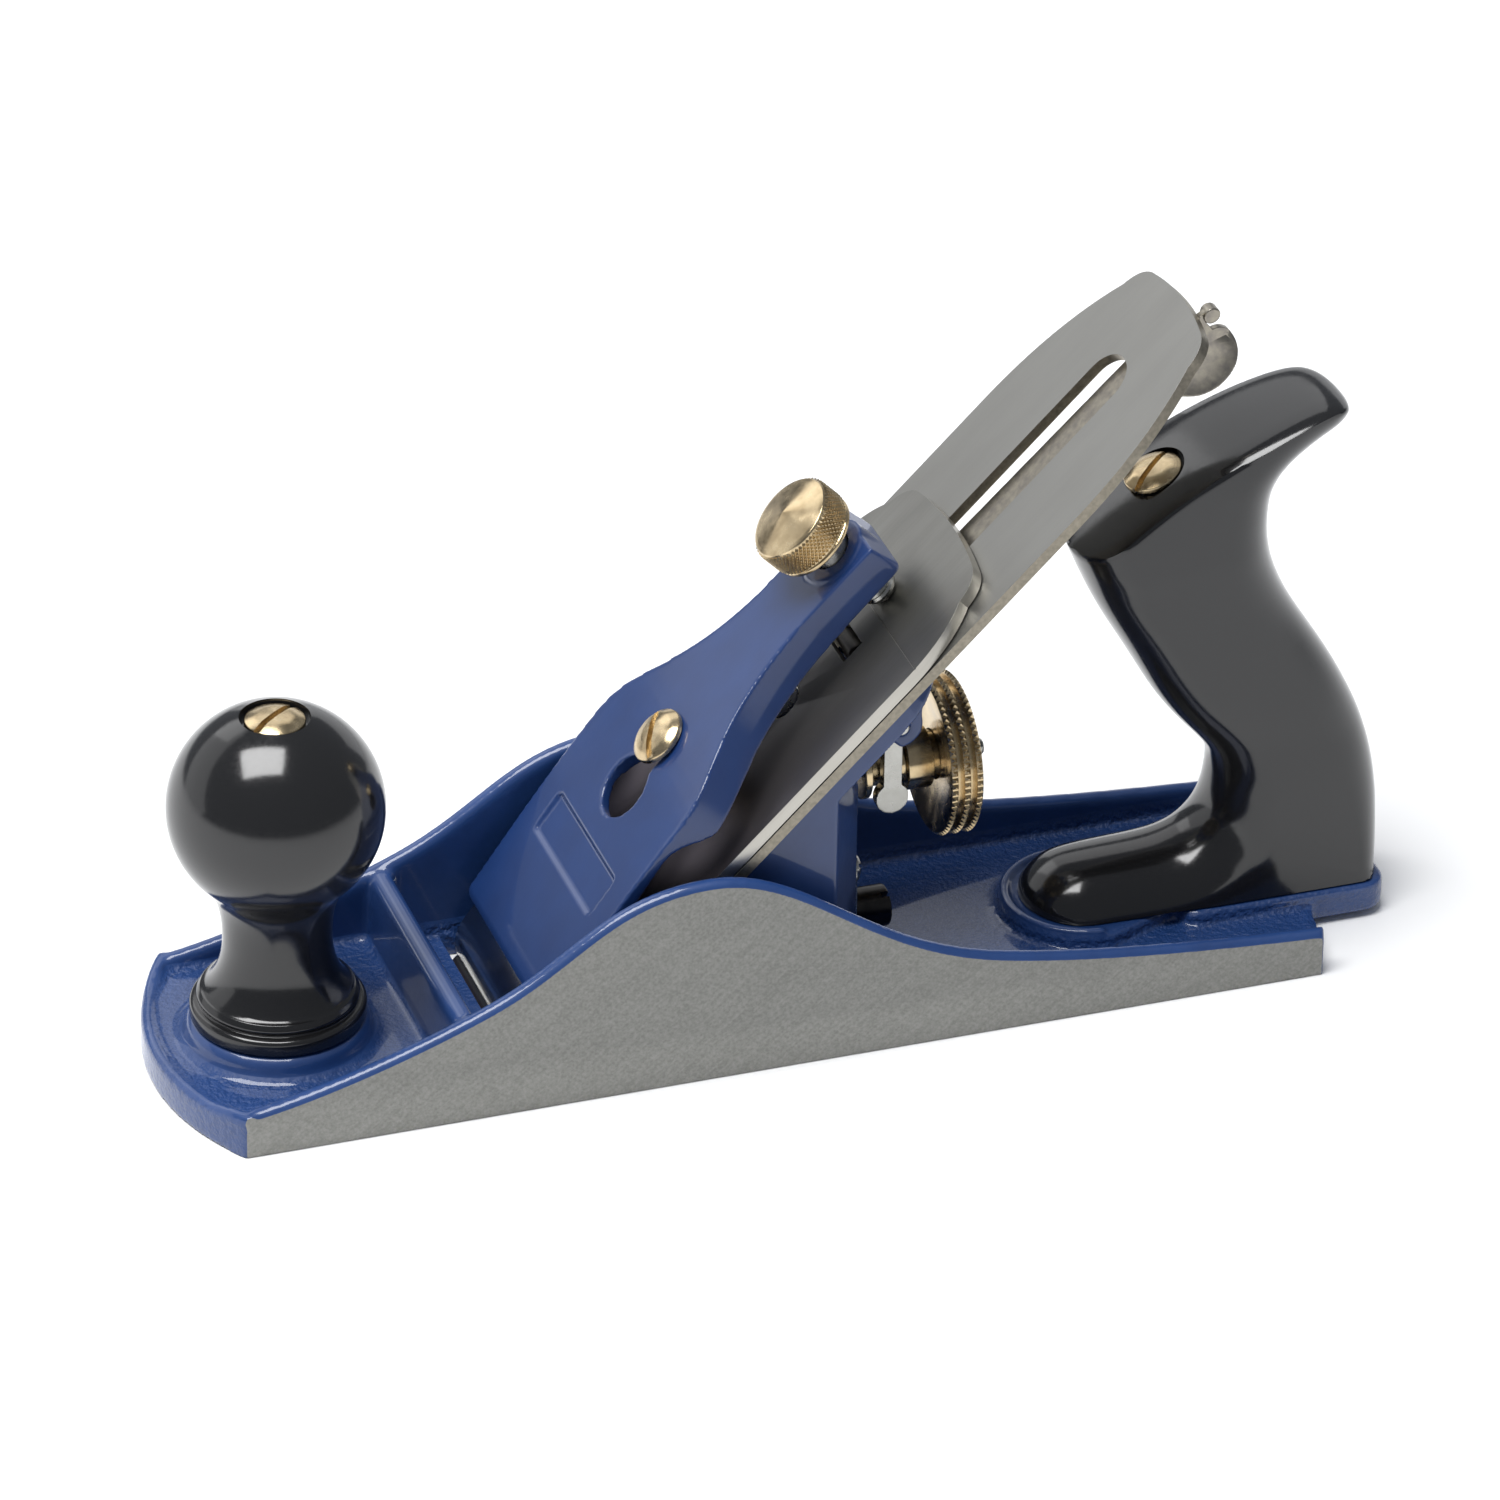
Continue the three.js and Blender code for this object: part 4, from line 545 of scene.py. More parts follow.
# Stoved enamel: paint baked on bare cast iron. It flows over the sand's grain and leaves a
# glossy skin with soft dimples. On the low decks, which no tool reaches, the sand shows more.
def stoved_enamel(name, grain_depth, dark, light, rough_deck=False):
    material, tree = new_material(name)
    place = add(tree, "ShaderNodeTexCoord").outputs["Object"]
    dimples = add(tree, "ShaderNodeTexNoise", {
        "Vector": place, "Scale": 1 / 0.0016, "Detail": 3.0, "Roughness": 0.55,
    })
    waves = add(tree, "ShaderNodeTexNoise", {"Vector": place, "Scale": 1 / 0.009, "Detail": 2.0})
    height = add(tree, "ShaderNodeMath", {0: waves, 1: 3.0, 2: dimples}, operation="MULTIPLY_ADD")
    if rough_deck:
        spot = add(tree, "ShaderNodeSeparateXYZ", {"Vector": place})
        low = add(tree, "ShaderNodeMapRange", {
            "Value": spot.outputs["Z"], "From Min": 0.0066, "From Max": 0.008,
            "To Min": 24.0, "To Max": 0.0,
        })
        sand = add(tree, "ShaderNodeTexNoise", {
            "Vector": place, "Scale": 1 / 0.0013, "Detail": 2.0,
        })
        height = add(tree, "ShaderNodeMath", {0: sand, 1: low, 2: height}, operation="MULTIPLY_ADD")
    bump = add(tree, "ShaderNodeBump", {"Height": height, "Strength": 0.6, "Distance": grain_depth})
    tone = add(tree, "ShaderNodeValToRGB", {"Fac": waves}, ((0, dark), (1, light)))
    return surface(material, "ShaderNodeBsdfPrincipled", {
        "Base Color": tone, "Roughness": 0.5, "Specular IOR Level": 0.35, "Coat Weight": 0.8,
        "Coat Roughness": 0.07, "Normal": bump,
    })


# Ground grey iron: a coarse wheel leaves a dull grey face, mottled, with faint crossed scratches.
def ground_iron():
    material, tree = new_material("ground_grey_iron")
    place = add(tree, "ShaderNodeTexCoord").outputs["Object"]
    height = 0.0
    for lean, weight in ((38, 1.0), (-30, 0.5)):
        turn = add(tree, "ShaderNodeMapping", {"Vector": place, "Rotation": (0, radians(lean), 0)})
        long = add(tree, "ShaderNodeMapping", {
            "Vector": turn, "Scale": (1 / 0.014, 1 / 0.0006, 1 / 0.0006),
        })
        lines = add(tree, "ShaderNodeTexNoise", {"Vector": long, "Scale": 1.0, "Detail": 3.0})
        height = add(tree, "ShaderNodeMath", {0: lines, 1: weight, 2: height},
                     operation="MULTIPLY_ADD")
    bump = add(tree, "ShaderNodeBump", {"Height": height, "Strength": 0.5, "Distance": 0.00006})
    mottle = add(tree, "ShaderNodeTexNoise", {
        "Vector": place, "Scale": 1 / 0.0006, "Detail": 3.0, "Roughness": 0.6,
    })
    shade = add(tree, "ShaderNodeMath", {0: height, 1: 0.4, 2: mottle}, operation="MULTIPLY_ADD")
    tone = add(tree, "ShaderNodeValToRGB", {"Fac": shade}, ((0.6, "#80807c"), (1, "#949490")))
    return surface(material, "ShaderNodeBsdfPrincipled", {
        "Base Color": tone, "Metallic": 0.85, "Roughness": 0.55, "Normal": bump,
    })


for face in casting.faces:
    middle = face.calc_center_median()
    on_cheek = abs(face.normal.y) > 0.99 and abs(abs(middle.y) - half_sole) < 0.02
    on_sole = face.normal.z < -0.99 and middle.z < 0.02
    in_mouth = abs(middle.x - edge_x - 2.5) < 4.2 and 0 < middle.z < 4.4 and abs(middle.y) < 27.2
    face.material_index = 1 if on_cheek or on_sole or in_mouth else 0
# Painted light: the body's enamel is coloured lighter than the lever cap's, though it is the same
# paint, to lift its shaded cheeks and decks.
body_enamel_painted_lighter = stoved_enamel("stoved_enamel_body_painted_lighter", 0.00007, "#183669", "#22447d", rough_deck=True)
piece("plane_body", casting, Matrix(), "body", "body_casting", "enamelled_iron", body_enamel_painted_lighter,
      ground_iron(), crease=50)

# ---- Knob, handle nuts and bolts ------------------------------------------------------------
# The front knob is moulded black plastic, turned in form: a ball on a waisted neck over a beaded
# foot. A steel bolt runs down it into the deck, under a slotted brass barrel nut.


# Moulded phenolic plastic: near black, with the soft gloss of a polished steel mould and slight
# flow marks that make its reflections waver.
def moulded_plastic():
    material, tree = new_material("moulded_phenolic_plastic")
    place = add(tree, "ShaderNodeTexCoord").outputs["Object"]
    flow = add(tree, "ShaderNodeTexNoise", {"Vector": place, "Scale": 1 / 0.011, "Detail": 2.0})
    haze = add(tree, "ShaderNodeTexNoise", {"Vector": place, "Scale": 1 / 0.0009, "Detail": 4.0})
    height = add(tree, "ShaderNodeMath", {0: haze, 1: 0.06, 2: flow}, operation="MULTIPLY_ADD")
    bump = add(tree, "ShaderNodeBump", {"Height": height, "Strength": 0.5, "Distance": 0.00008})
    gloss = add(tree, "ShaderNodeMapRange", {
        "Value": haze, "From Min": 0.3, "From Max": 0.7, "To Min": 0.11, "To Max": 0.17,
    })
    return surface(material, "ShaderNodeBsdfPrincipled", {
        "Base Color": linear("#1b1b1c"), "Roughness": gloss, "IOR": 1.58, "Normal": bump,
    })


# Turned metal: the tool leaves fine rings about the piece's own axis, drawn 0.25 mm apart so
# that they show, and handling dulls it in patches.
def turned_metal(name, axis, dark, light, roughness):
    material, tree = new_material(name)
    place = add(tree, "ShaderNodeTexCoord").outputs["Object"]
    own = add(tree, "ShaderNodeMapping", {
        "Vector": place, "Location": axis.translation / 1000, "Rotation": axis.to_euler(),
    }, vector_type="TEXTURE")
    parts = add(tree, "ShaderNodeSeparateXYZ", {"Vector": own})
    flat = add(tree, "ShaderNodeCombineXYZ", {"X": parts.outputs["X"], "Y": parts.outputs["Y"]})
    radius = add(tree, "ShaderNodeVectorMath", {0: flat}, operation="LENGTH")
    along = add(tree, "ShaderNodeMath", {0: radius.outputs["Value"], 1: parts.outputs["Z"]})
    rings = add(tree, "ShaderNodeTexNoise", {"W": along, "Scale": 1 / 0.00025, "Detail": 2.0},
                noise_dimensions="1D")
    bump = add(tree, "ShaderNodeBump", {"Height": rings, "Strength": 0.4, "Distance": 0.00002})
    patches = add(tree, "ShaderNodeTexNoise", {"Vector": place, "Scale": 1 / 0.003, "Detail": 5.0})
    tone = add(tree, "ShaderNodeValToRGB", {"Fac": patches}, ((0.3, dark), (0.75, light)))
    dull = add(tree, "ShaderNodeMapRange", {
        "Value": patches, "From Min": 0.3, "From Max": 0.7,
        "To Min": roughness - 0.05, "To Max": roughness + 0.08,
    })
    spread = add(tree, "ShaderNodeMapping", {"Vector": flat, "Rotation": axis.to_euler()},
                 vector_type="VECTOR")
    grain = add(tree, "ShaderNodeVectorTransform", {"Vector": spread}, vector_type="VECTOR",
                convert_from="OBJECT", convert_to="WORLD")
    return surface(material, "ShaderNodeBsdfPrincipled", {
        "Base Color": tone, "Metallic": 1.0, "Roughness": dull, "Anisotropic": 0.7,
        "Tangent": grain, "Normal": bump,
    })


# Brass as it comes from the lathe: pale gold, unlacquered and slightly dulled.
def turned_brass(name, axis):
    return turned_metal("turned_brass_" + name, axis, "#b09c7a", "#e0cba4", 0.22)


# Mild steel, turned and zinc plated: a pale and slightly warm grey.
def zinc_steel(name, axis):
    return turned_metal("zinc_plated_steel_" + name, axis, "#a3a29c", "#c4c3bd", 0.26)


def driver_slot(width, length, floor, top, turn):
    """The tool for a screwdriver slot, turned about the Z axis."""
    return moved(bar(-length / 2, length / 2, width / 2, floor, top), Matrix.Rotation(turn, 4, "Z"))


def barrel_nut(name, node, axis):
    """A long brass nut sunk in its bore, with a slotted and slightly domed head."""
    profile = [(0, -15), (4.2, -15), (4.5, -14.7), (4.5, 0), (5.9, 0, 0.2), (5.9, 1.1, 0.4)]
    nut = carved(
        turned(profile + [(3.6, 2, 5), (0, 2.2)], 72), rod(bolt_bore, -16, -4),
        driver_slot(1.3, 15, 0.6, 5, 0.65),
    )
    piece(name, nut, axis, "body", node, "brass", turned_brass(name, axis))


def steel_turning(name, node, body, axis, profile, slot=None, steel=None):
    """A turned steel piece. A driver slot has its width, length, floor, top and turn."""
    bm = turned(profile)
    if slot:
        bm = carved(bm, driver_slot(*slot))
    piece(name, bm, axis, body, node, "bright_steel", steel or zinc_steel(name, axis))


def bolt(name, node, axis, low, high):
    """A 6 mm steel bolt with broken ends."""
    steel_turning(name, node, "body", axis, [
        (0, low), (2.6, low), (3, low + 0.4), (3, high - 0.4), (2.6, high), (0, high),
    ])


knob_foot = boss_top + 0.3
ball_centre = 57.2
ball_radius = 21
neck_angle, rim_angle = radians(-46), pi / 2 - asin(7.3 / ball_radius)
neck_end = (ball_radius * cos(neck_angle), ball_centre + ball_radius * sin(neck_angle))
knob_profile = [
    (0, knob_foot), (17.1, knob_foot, 0.5), (17.1, knob_foot + 3.2, 1.1),
    (15.1, knob_foot + 3.5, 0.35), (15.9, knob_foot + 4.7, 0.7), (15, knob_foot + 5.8, 0.4),
    (14.3, knob_foot + 6.1),
]
curve(knob_profile, (12.3, knob_foot + 8.2), (10.6, knob_foot + 12), end=(10.6, knob_foot + 17))
curve(knob_profile, (10.6, knob_foot + 23), (neck_end[0] - 2.9, neck_end[1] - 2.8), end=neck_end)
for k in range(1, 41):
    angle = neck_angle + (rim_angle - neck_angle) * k / 40
    knob_profile.append((ball_radius * cos(angle), ball_centre + ball_radius * sin(angle)))
flat_top = ball_centre + ball_radius - 1.6
nut_seat = flat_top - 1.2
knob_profile += [(6.85, flat_top + 0.5), (6.75, flat_top + 0.2), (6.75, nut_seat), (0, nut_seat)]
knob_axis = shift(knob_x)
barrel_bore, barrel_depth = 9.6, 15.3
plastic = moulded_plastic()
knob = carved(
    turned(knob_profile, 128), rod(bolt_bore, 0, 100),
    rod(barrel_bore, nut_seat - barrel_depth, 100),
)
piece("ball_knob", knob, knob_axis, "body", "front_knob", "black_plastic", plastic)
barrel_nut("knob_barrel_nut", "knob_nut", shift(knob_x, 0, nut_seat + 0.1))
bolt("knob_bolt", "knob_stud", knob_axis, 3.3, flat_top - 4.6)

# ---- Rear handle ----------------------------------------------------------------------------
# The handle is moulded in the same black plastic. Its foot ends in a half-round toe, the grip
# leans forward with a full round back, and a flat top with crisp edges runs out to a thin horn.

# Cross sections: front edge X and Z, back edge X and Z, share of the full thickness, rounding of
# the front and of the back. X is taken from the pad's end and Z from the pad's face.
handle_sections = [
    (-72.4, 0, -72.4, 0, 1, 13, 0), (-72.35, 1.6, -71.9, 0, 1, 13, 0),
    (-71.5, 3.7, -70.2, 0, 1, 13, 0), (-69.2, 6, -67.2, 0, 1, 13, 0),
    (-66.6, 7.8, -63.6, 0, 1, 13, 0), (-63, 9.1, -58.5, 0, 1, 13, 0),
    (-56, 9.5, -49, 0, 1, 13, 0), (-49, 9.7, -36, 0, 1, 13, 0),
    (-43, 10.1, -22, 0, 1, 13, 0), (-39, 11.6, -8, 0, 1, 12.5, 3),
    (-36.2, 14.2, 0, 0, 0.99, 12, 6), (-34.4, 18, 0.3, 5, 0.98, 11, 7),
    (-33.8, 22, 0.3, 12, 0.97, 10, 8), (-33.6, 25.5, 0, 19, 0.96, 9.5, 9),
    (-34.4, 29, -1.2, 26, 0.95, 9, 10), (-37.7, 33.2, -3.4, 33.6, 0.94, 9, 11),
    (-42.4, 38.2, -7, 41, 0.94, 9, 11), (-47.7, 45.2, -11, 48.6, 0.94, 9, 11),
    (-53.1, 55.8, -16.6, 57, 0.95, 9, 11), (-58.7, 64.3, -21.2, 64.6, 0.96, 9, 11),
    (-62, 71.8, -24.1, 72, 0.98, 10, 11), (-63.9, 76, -25.2, 77.5, 1, 10, 11),
    (-65.2, 79.2, -25.4, 81.5, 1, 10, 11), (-61, 83, -25.2, 85, 1, 10, 11),
    (-55.1, 88, -24.9, 88, 1, 10, 11), (-43.9, 95.6, -23.5, 91, 1, 10, 11),
    (-33.8, 100.3, -21.7, 93.2, 0.97, 10, 10), (-25.9, 103.5, -18.9, 95.5, 0.92, 10, 9),
    (-19, 105.6, -14.9, 98, 0.85, 10, 8), (-14.6, 106.3, -12, 99.3, 0.76, 10, 7),
    (-10.2, 105.2, -9.6, 101.1, 0.6, 10, 6), (-8.8, 102.2, -8.8, 102.2, 0.36, 10, 6),
]
foot_corner, top_corner = 10, 22
handle_thickness = 26.6
top_edge = 1.3


def smoothed(values, stops, steps):
    """Values between the given ones on smooth curves that break at the stops."""
    points = [values[0]]
    for i in range(len(values) - 1):
        a, b = values[i], values[i + 1]
        before = values[i - 1] if i not in stops else 2 * a - b
        after = values[i + 2] if i + 1 not in stops else 2 * b - a
        for k in range(1, steps + 1):
            t = k / steps
            points.append(
                a + 0.5 * t * (b - before + t * (2 * before - 5 * a + 4 * b - after
                                                 + t * (3 * (a - b) + after - before)))
            )
    return points


def edge_tree(points, steps=20):
    """Quick search for the nearest place on an edge line."""
    tree = kdtree.KDTree(steps * (len(points) - 1) + 1)
    for i, (a, b) in enumerate(zip(points, points[1:])):
        for k in range(steps):
            tree.insert(a.lerp(b, k / steps), steps * i + k)
    tree.insert(points[-1], steps * (len(points) - 1))
    tree.balance()
    return tree


def rear_handle(steps=5, edge_steps=9, passes=14):
    """The handle as a skin over its sections, thinned towards its rounded and its crisp edges."""
    ends = (0, len(handle_sections) - 1)
    columns = list(zip(*handle_sections))
    front_stops, back_stops = (*ends, top_corner), (*ends, foot_corner)
    stops = (front_stops, front_stops, back_stops, back_stops, ends, ends, ends)
    fx, fz, bx, bz, share, front_round, back_round = [
        smoothed(column, stop, steps) for column, stop in zip(columns, stops)
    ]
    for line, kept in zip((fx, fz, bx, bz), stops):
        for _ in range(passes):
            for i in range(1, len(line) - 1):
                if i % steps or i // steps not in kept:
                    line[i] += 0.5 * ((line[i - 1] + line[i + 1]) / 2 - line[i])
    foot = pad_height + 0.3
    front = [Vector((body_high.x + x, 0, foot + max(z, 0))) for x, z in zip(fx, fz)]
    back = [Vector((body_high.x + x, 0, foot + max(z, 0))) for x, z in zip(bx, bz)]
    lines = [
        edge_tree(front[:top_corner * steps + 1]), edge_tree(front[top_corner * steps:]),
        edge_tree(back[foot_corner * steps:]),
    ]
    powers = (2, 2.6, 2)
    rings = []
    for k in range(len(front)):
        length = (back[k] - front[k]).length
        fit = min(1, length / (front_round[k] + max(back_round[k], 0.01)))
        places = [0, length]
        for i in range(1, edge_steps + 1):
            turn = 1 - cos(i * pi / 2 / edge_steps)
            places += [turn * front_round[k] * fit, length - turn * max(back_round[k], 0.01) * fit]
        side = []
        for place in sorted(places):
            point = front[k].lerp(back[k], place / length if length else 0)
            width = share[k] * handle_thickness / 2
            radii = (front_round[k], top_edge, max(back_round[k], top_edge))
            for line, radius, power in zip(lines, radii, powers):
                inside = 1 - min(line.find(point)[2], radius) / radius
                width *= max(0, 1 - inside ** power) ** (1 / power)
            side.append(Vector((point.x, -width, point.z)))
        rings.append(side + [Vector((p.x, -p.y, p.z)) for p in reversed(side)])
    return skin(rings)


handle_seat = 98.2
handle = carved(
    rear_handle(), rod(bolt_bore, -5, 120, handle_bolt),
    rod(barrel_bore, handle_seat - barrel_depth, 130, handle_bolt),
    rod(13.2, handle_seat - 0.3, 130, handle_bolt, 96),
)
piece("grip_handle", handle, Matrix(), "body", "rear_handle", "black_plastic", plastic, crease=40)
barrel_nut("handle_barrel_nut", "handle_nut", handle_bolt @ shift(z=handle_seat))
bolt("handle_bolt", "handle_stud", handle_bolt, -4, handle_seat - 5)

# ---- Frog and the screws that hold it -------------------------------------------------------
# The frog is a second iron casting in the same blue enamel. It stands on the seat behind the
# mouth, and two screws with washers clamp it through oval holes.


def copied(node):
    """A merged copy of a CAD node's mesh, in millimetres."""
    bm = bmesh.new()
    bm.from_mesh(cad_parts[node].data)
    bm.transform(Matrix.Scale(1000, 4))
    bmesh.ops.remove_doubles(bm, verts=bm.verts, dist=1e-3)
    return bm


frog = cast([copied("frog")], grain=0.5, passes=5, triangles=90000)
frog_enamel = stoved_enamel("stoved_enamel_frog", 0.00007, "#1a3465", "#234076")
piece("frog_casting", frog, Matrix(), "frog", "frog", "enamel", frog_enamel, crease=60)
washer_foot = seat_height + 0.3 + 5 + 0.3  # over the frog's foot, 5 mm thick, and two gaps
washer_top, head_foot = washer_foot + 1.2, washer_foot + 1.5
for name, axis in zip(("left", "right"), clamp_axes):
    steel_turning("frog_clamp_screw_" + name, "frog_screw_" + name, "body", axis, [
        (0, 3), (3, 3, 0.4), (3, head_foot), (5.5, head_foot, 0.2), (5.5, head_foot + 1.8, 0.4),
        (3.9, head_foot + 2.9, 1), (0, head_foot + 3.3),
    ], slot=(1.4, 13, head_foot + 2, head_foot + 6, 0.4))
    steel_turning("frog_clamp_washer_" + name, "frog_washer_" + name, "body", axis, [
        (3.3, washer_foot, 0.1), (6, washer_foot, 0.2), (6, washer_top, 0.3),
        (3.3, washer_top, 0.1),
    ])

# ---- Frog adjuster --------------------------------------------------------------------------
# A turned screw in the casting's rib, and a pressed steel clip on the frog that sits in the
# screw's groove, move the frog to set the mouth. The screw is blackened, the clip zinc plated.


def threaded(start, turns, root, crest):
    """Profile of a thread of 1 mm pitch."""
    return [point for k in range(turns) for point in ((root, start + k), (crest, start + 0.5 + k))]


thread_end, spool_end, screw_end = frog_back - 1.8, frog_back + 1.8, station(139.4)
setting_screw = [
    (0, thread_end - 16), *threaded(thread_end - 16, 16, 2.2, 2.5), (2.3, thread_end),
    (4.2, thread_end, 0.2), (4.2, frog_back, 0.2), (2.3, frog_back), (2.3, spool_end),
    (4.2, spool_end, 0.3), (4.2, screw_end, 0.7), (0, screw_end),
]
# Blackened steel: turned, then heated and quenched in oil, which leaves it near black.
blackened = turned_metal("blackened_steel", setting_axis, "#2c2b2b", "#454341", 0.36)
steel_turning("frog_setting_screw", "frog_adjusting_screw", "frog_adjusting_screw", setting_axis,
              setting_screw, slot=(1.2, 11, screw_end - 1.8, screw_end + 1.6, 0.5), steel=blackened)
clip = cast([copied("frog_adjusting_clip")], grain=0.16, passes=3, triangles=16000)
clip_axis = shift(z=22.6) @ along_x
piece("frog_setting_clip", clip, Matrix(), "frog", "frog_adjusting_clip", "bright_steel",
      zinc_steel("clip", clip_axis))
steel_turning("frog_clip_screw", "clip_screw", "frog", clip_axis, [
    (0, spool_end - 8), (1.5, spool_end - 8, 0.2), (1.5, spool_end), (3, spool_end, 0.2),
    (3, spool_end + 1.3, 0.3), (1.8, spool_end + 2.1, 1), (0, spool_end + 2.3),
], slot=(1, 8, spool_end + 1.3, spool_end + 4, 1.1))

# ---- Depth adjuster -------------------------------------------------------------------------
# A brass wheel with three knurled rings runs on a threaded steel stud. Its spool carries the
# yoke's two round ends, and turning it rocks the yoke to feed the irons.

stud_axis = shift(z=45.3) @ along_x
stud_start, stud_end = frog_back - 11, station(158.4)
turns = int(stud_end - stud_start) - 1
steel_turning("adjuster_stud", "depth_stud", "frog", stud_axis, [
    (0, stud_start), *threaded(stud_start, turns, 2.15, 2.4), (2.1, stud_end - 0.8),
    (1.4, stud_end), (0, stud_end),
])
yoke_x = station(137.6)
groove = yoke_x - 3.7
hub = groove + 7.4
wheel_start = hub + 5.6
wheel_width = 6.4
wheel_end = wheel_start + wheel_width
spool = turned([
    (2.7, groove - 1.6, 0.1), (6.6, groove - 1.6, 0.5), (6.6, groove, 0.3), (4.4, groove, 0.3),
    (4.4, hub, 0.3), (6.2, hub, 0.3), (6.2, hub + 5.3, 0.2), (4.8, hub + 5.3, 0.1),
    (4.8, wheel_end, 0.5), (2.7, wheel_end, 0.2),
], 96)
piece("adjuster_spool", spool, stud_axis, "depth_collar", "depth_collar", "brass",
      turned_brass("spool", stud_axis))
wheel_brass = turned_brass("wheel", stud_axis)


def knurl_tree():
    """Rings of teeth round the Z axis. Every other row is turned by the stagger."""
    tree = bpy.data.node_groups.new("knurl", "GeometryNodeTree")
    for kind, labels in (
        ("Int", ("Teeth", "Rows")), ("Material", ("Metal",)),
        ("Float", ("Radius", "Row Step", "First Row", "Tooth Width", "Tooth Height", "Tooth Depth",
                   "Stagger", "Tooth Turn")),
    ):
        for label in labels:
            tree.interface.new_socket(label, in_out="INPUT", socket_type="NodeSocket" + kind)
    tree.interface.new_socket("Geometry", in_out="OUTPUT", socket_type="NodeSocketGeometry")
    given = add(tree, "NodeGroupInput").outputs
    ring = add(tree, "GeometryNodeMeshCircle", {
        "Vertices": given["Teeth"], "Radius": given["Radius"],
    })
    cone = add(tree, "GeometryNodeMeshCone", {
        "Vertices": 4, "Radius Top": 0.12, "Radius Bottom": 0.7071, "Depth": 1.0,
    })
    outward = add(tree, "GeometryNodeTransform", {
        "Geometry": cone, "Rotation": (0.0, pi / 2, 0.0), "Translation": (-0.4, 0.0, 0.0),
    })
    lean = add(tree, "ShaderNodeCombineXYZ", {"X": given["Tooth Turn"]})
    quarter = add(tree, "GeometryNodeTransform", {"Geometry": outward, "Rotation": lean})
    size = add(tree, "ShaderNodeCombineXYZ", {
        "X": given["Tooth Depth"], "Y": given["Tooth Width"], "Z": given["Tooth Height"],
    })
    spot = add(tree, "GeometryNodeInputPosition")
    facing = add(tree, "FunctionNodeAlignRotationToVector", {"Vector": spot}, axis="X")
    toothed = add(tree, "GeometryNodeInstanceOnPoints", {
        "Points": ring, "Instance": quarter, "Rotation": facing, "Scale": size,
    })
    start = add(tree, "ShaderNodeCombineXYZ", {"Z": given["First Row"]})
    step = add(tree, "ShaderNodeCombineXYZ", {"Z": given["Row Step"]})
    rows = add(tree, "GeometryNodeMeshLine", {
        "Count": given["Rows"], "Start Location": start, "Offset": step,
    })
    index = add(tree, "GeometryNodeInputIndex")
    odd = add(tree, "ShaderNodeMath", {0: index, 1: 2.0}, operation="MODULO")
    lag = add(tree, "ShaderNodeMath", {0: odd, 1: given["Stagger"]}, operation="MULTIPLY")
    swing = add(tree, "ShaderNodeCombineXYZ", {"Z": lag})
    turn = add(tree, "FunctionNodeEulerToRotation", {"Euler": swing})
    stacked = add(tree, "GeometryNodeInstanceOnPoints", {
        "Points": rows, "Instance": toothed, "Rotation": turn,
    })
    real = add(tree, "GeometryNodeRealizeInstances", {"Geometry": stacked})
    coated = add(tree, "GeometryNodeSetMaterial", {"Geometry": real, "Material": given["Metal"]})
    add(tree, "NodeGroupOutput", {"Geometry": coated})
    return tree


def knurled(bm, sizes):
    """The turned blank with its knurling added, as one bmesh in millimetres."""
    carrier = scratch_object(bmesh.new())
    grown = carrier.modifiers.new("knurl", "NODES")
    grown.node_group = knurl
    for item in knurl.interface.items_tree:
        if item.in_out == "INPUT" and item.name in sizes:
            grown[item.identifier] = sizes[item.name]
    return joined([bm, baked(carrier)])


knurl = knurl_tree()
ring_width = wheel_width / 5
wheel_profile = [(5.1, wheel_start + 1.3), (7.4, wheel_start + 1.1), (12, wheel_start + 0.3)]
for low in (0, 2, 4):
    z = wheel_start + low * ring_width
    wheel_profile += [
        (14, z), (15.45, z, 0.15), (15.45, z + ring_width, 0.15), (14, z + ring_width),
    ]
wheel_profile += [
    (12.4, wheel_end), (11.6, wheel_end - 0.5), (8, wheel_end - 0.9), (5.1, wheel_end - 0.9),
]
wheel = knurled(turned(wheel_profile, 128), {
    "Metal": wheel_brass, "Teeth": 72, "Rows": 3, "Radius": 15.64,
    "First Row": wheel_start + ring_width / 2, "Row Step": 2 * ring_width, "Tooth Width": 1.1,
    "Tooth Height": 1.2, "Tooth Depth": 0.6, "Stagger": 0.0, "Tooth Turn": pi / 4,
})
piece("adjuster_wheel", wheel, stud_axis, "depth_wheel", "depth_wheel", "brass", wheel_brass)

# The irons' bed: X runs up it from the cutting edge, and Z stands off it.
bed = shift(edge_x) @ Matrix.Rotation(-pi / 4, 4, "Y")
yoke_axis = shift(yoke_x, 0, 59.4) @ Matrix.Rotation(pi / 2, 4, "X")
yoke = cast([copied("yoke")], grain=0.2, passes=4, triangles=30000)
# Painted shade: the yoke's finger, which stands in the irons' slots, gets a near black steel for
# the shade there. The rest is zinc plated.
for face in yoke.faces:
    face.material_index = 1 if (bed.inverted() @ face.calc_center_median()).z > -4 else 0
painted_shade_tip = turned_metal("painted_shade_yoke_tip", yoke_axis, "#2c2b2b", "#403e3c", 0.4)
piece("adjuster_yoke", yoke, Matrix(), "yoke", "yoke", "bright_steel",
      zinc_steel("yoke", yoke_axis), painted_shade_tip)
steel_turning("yoke_pivot_pin", "yoke_pin", "frog", yoke_axis, [
    (0, -11.9), (1.2, -11.9), (1.5, -11.6), (1.5, 11.6), (1.2, 11.9), (0, 11.9),
])

# ---- Irons ----------------------------------------------------------------------------------
# The cutting iron is a flat plate of tool steel, surface ground on both faces, with a keyhole
# slot. The cap iron is a spring plate with a polished curl at its edge, held by a broad screw.


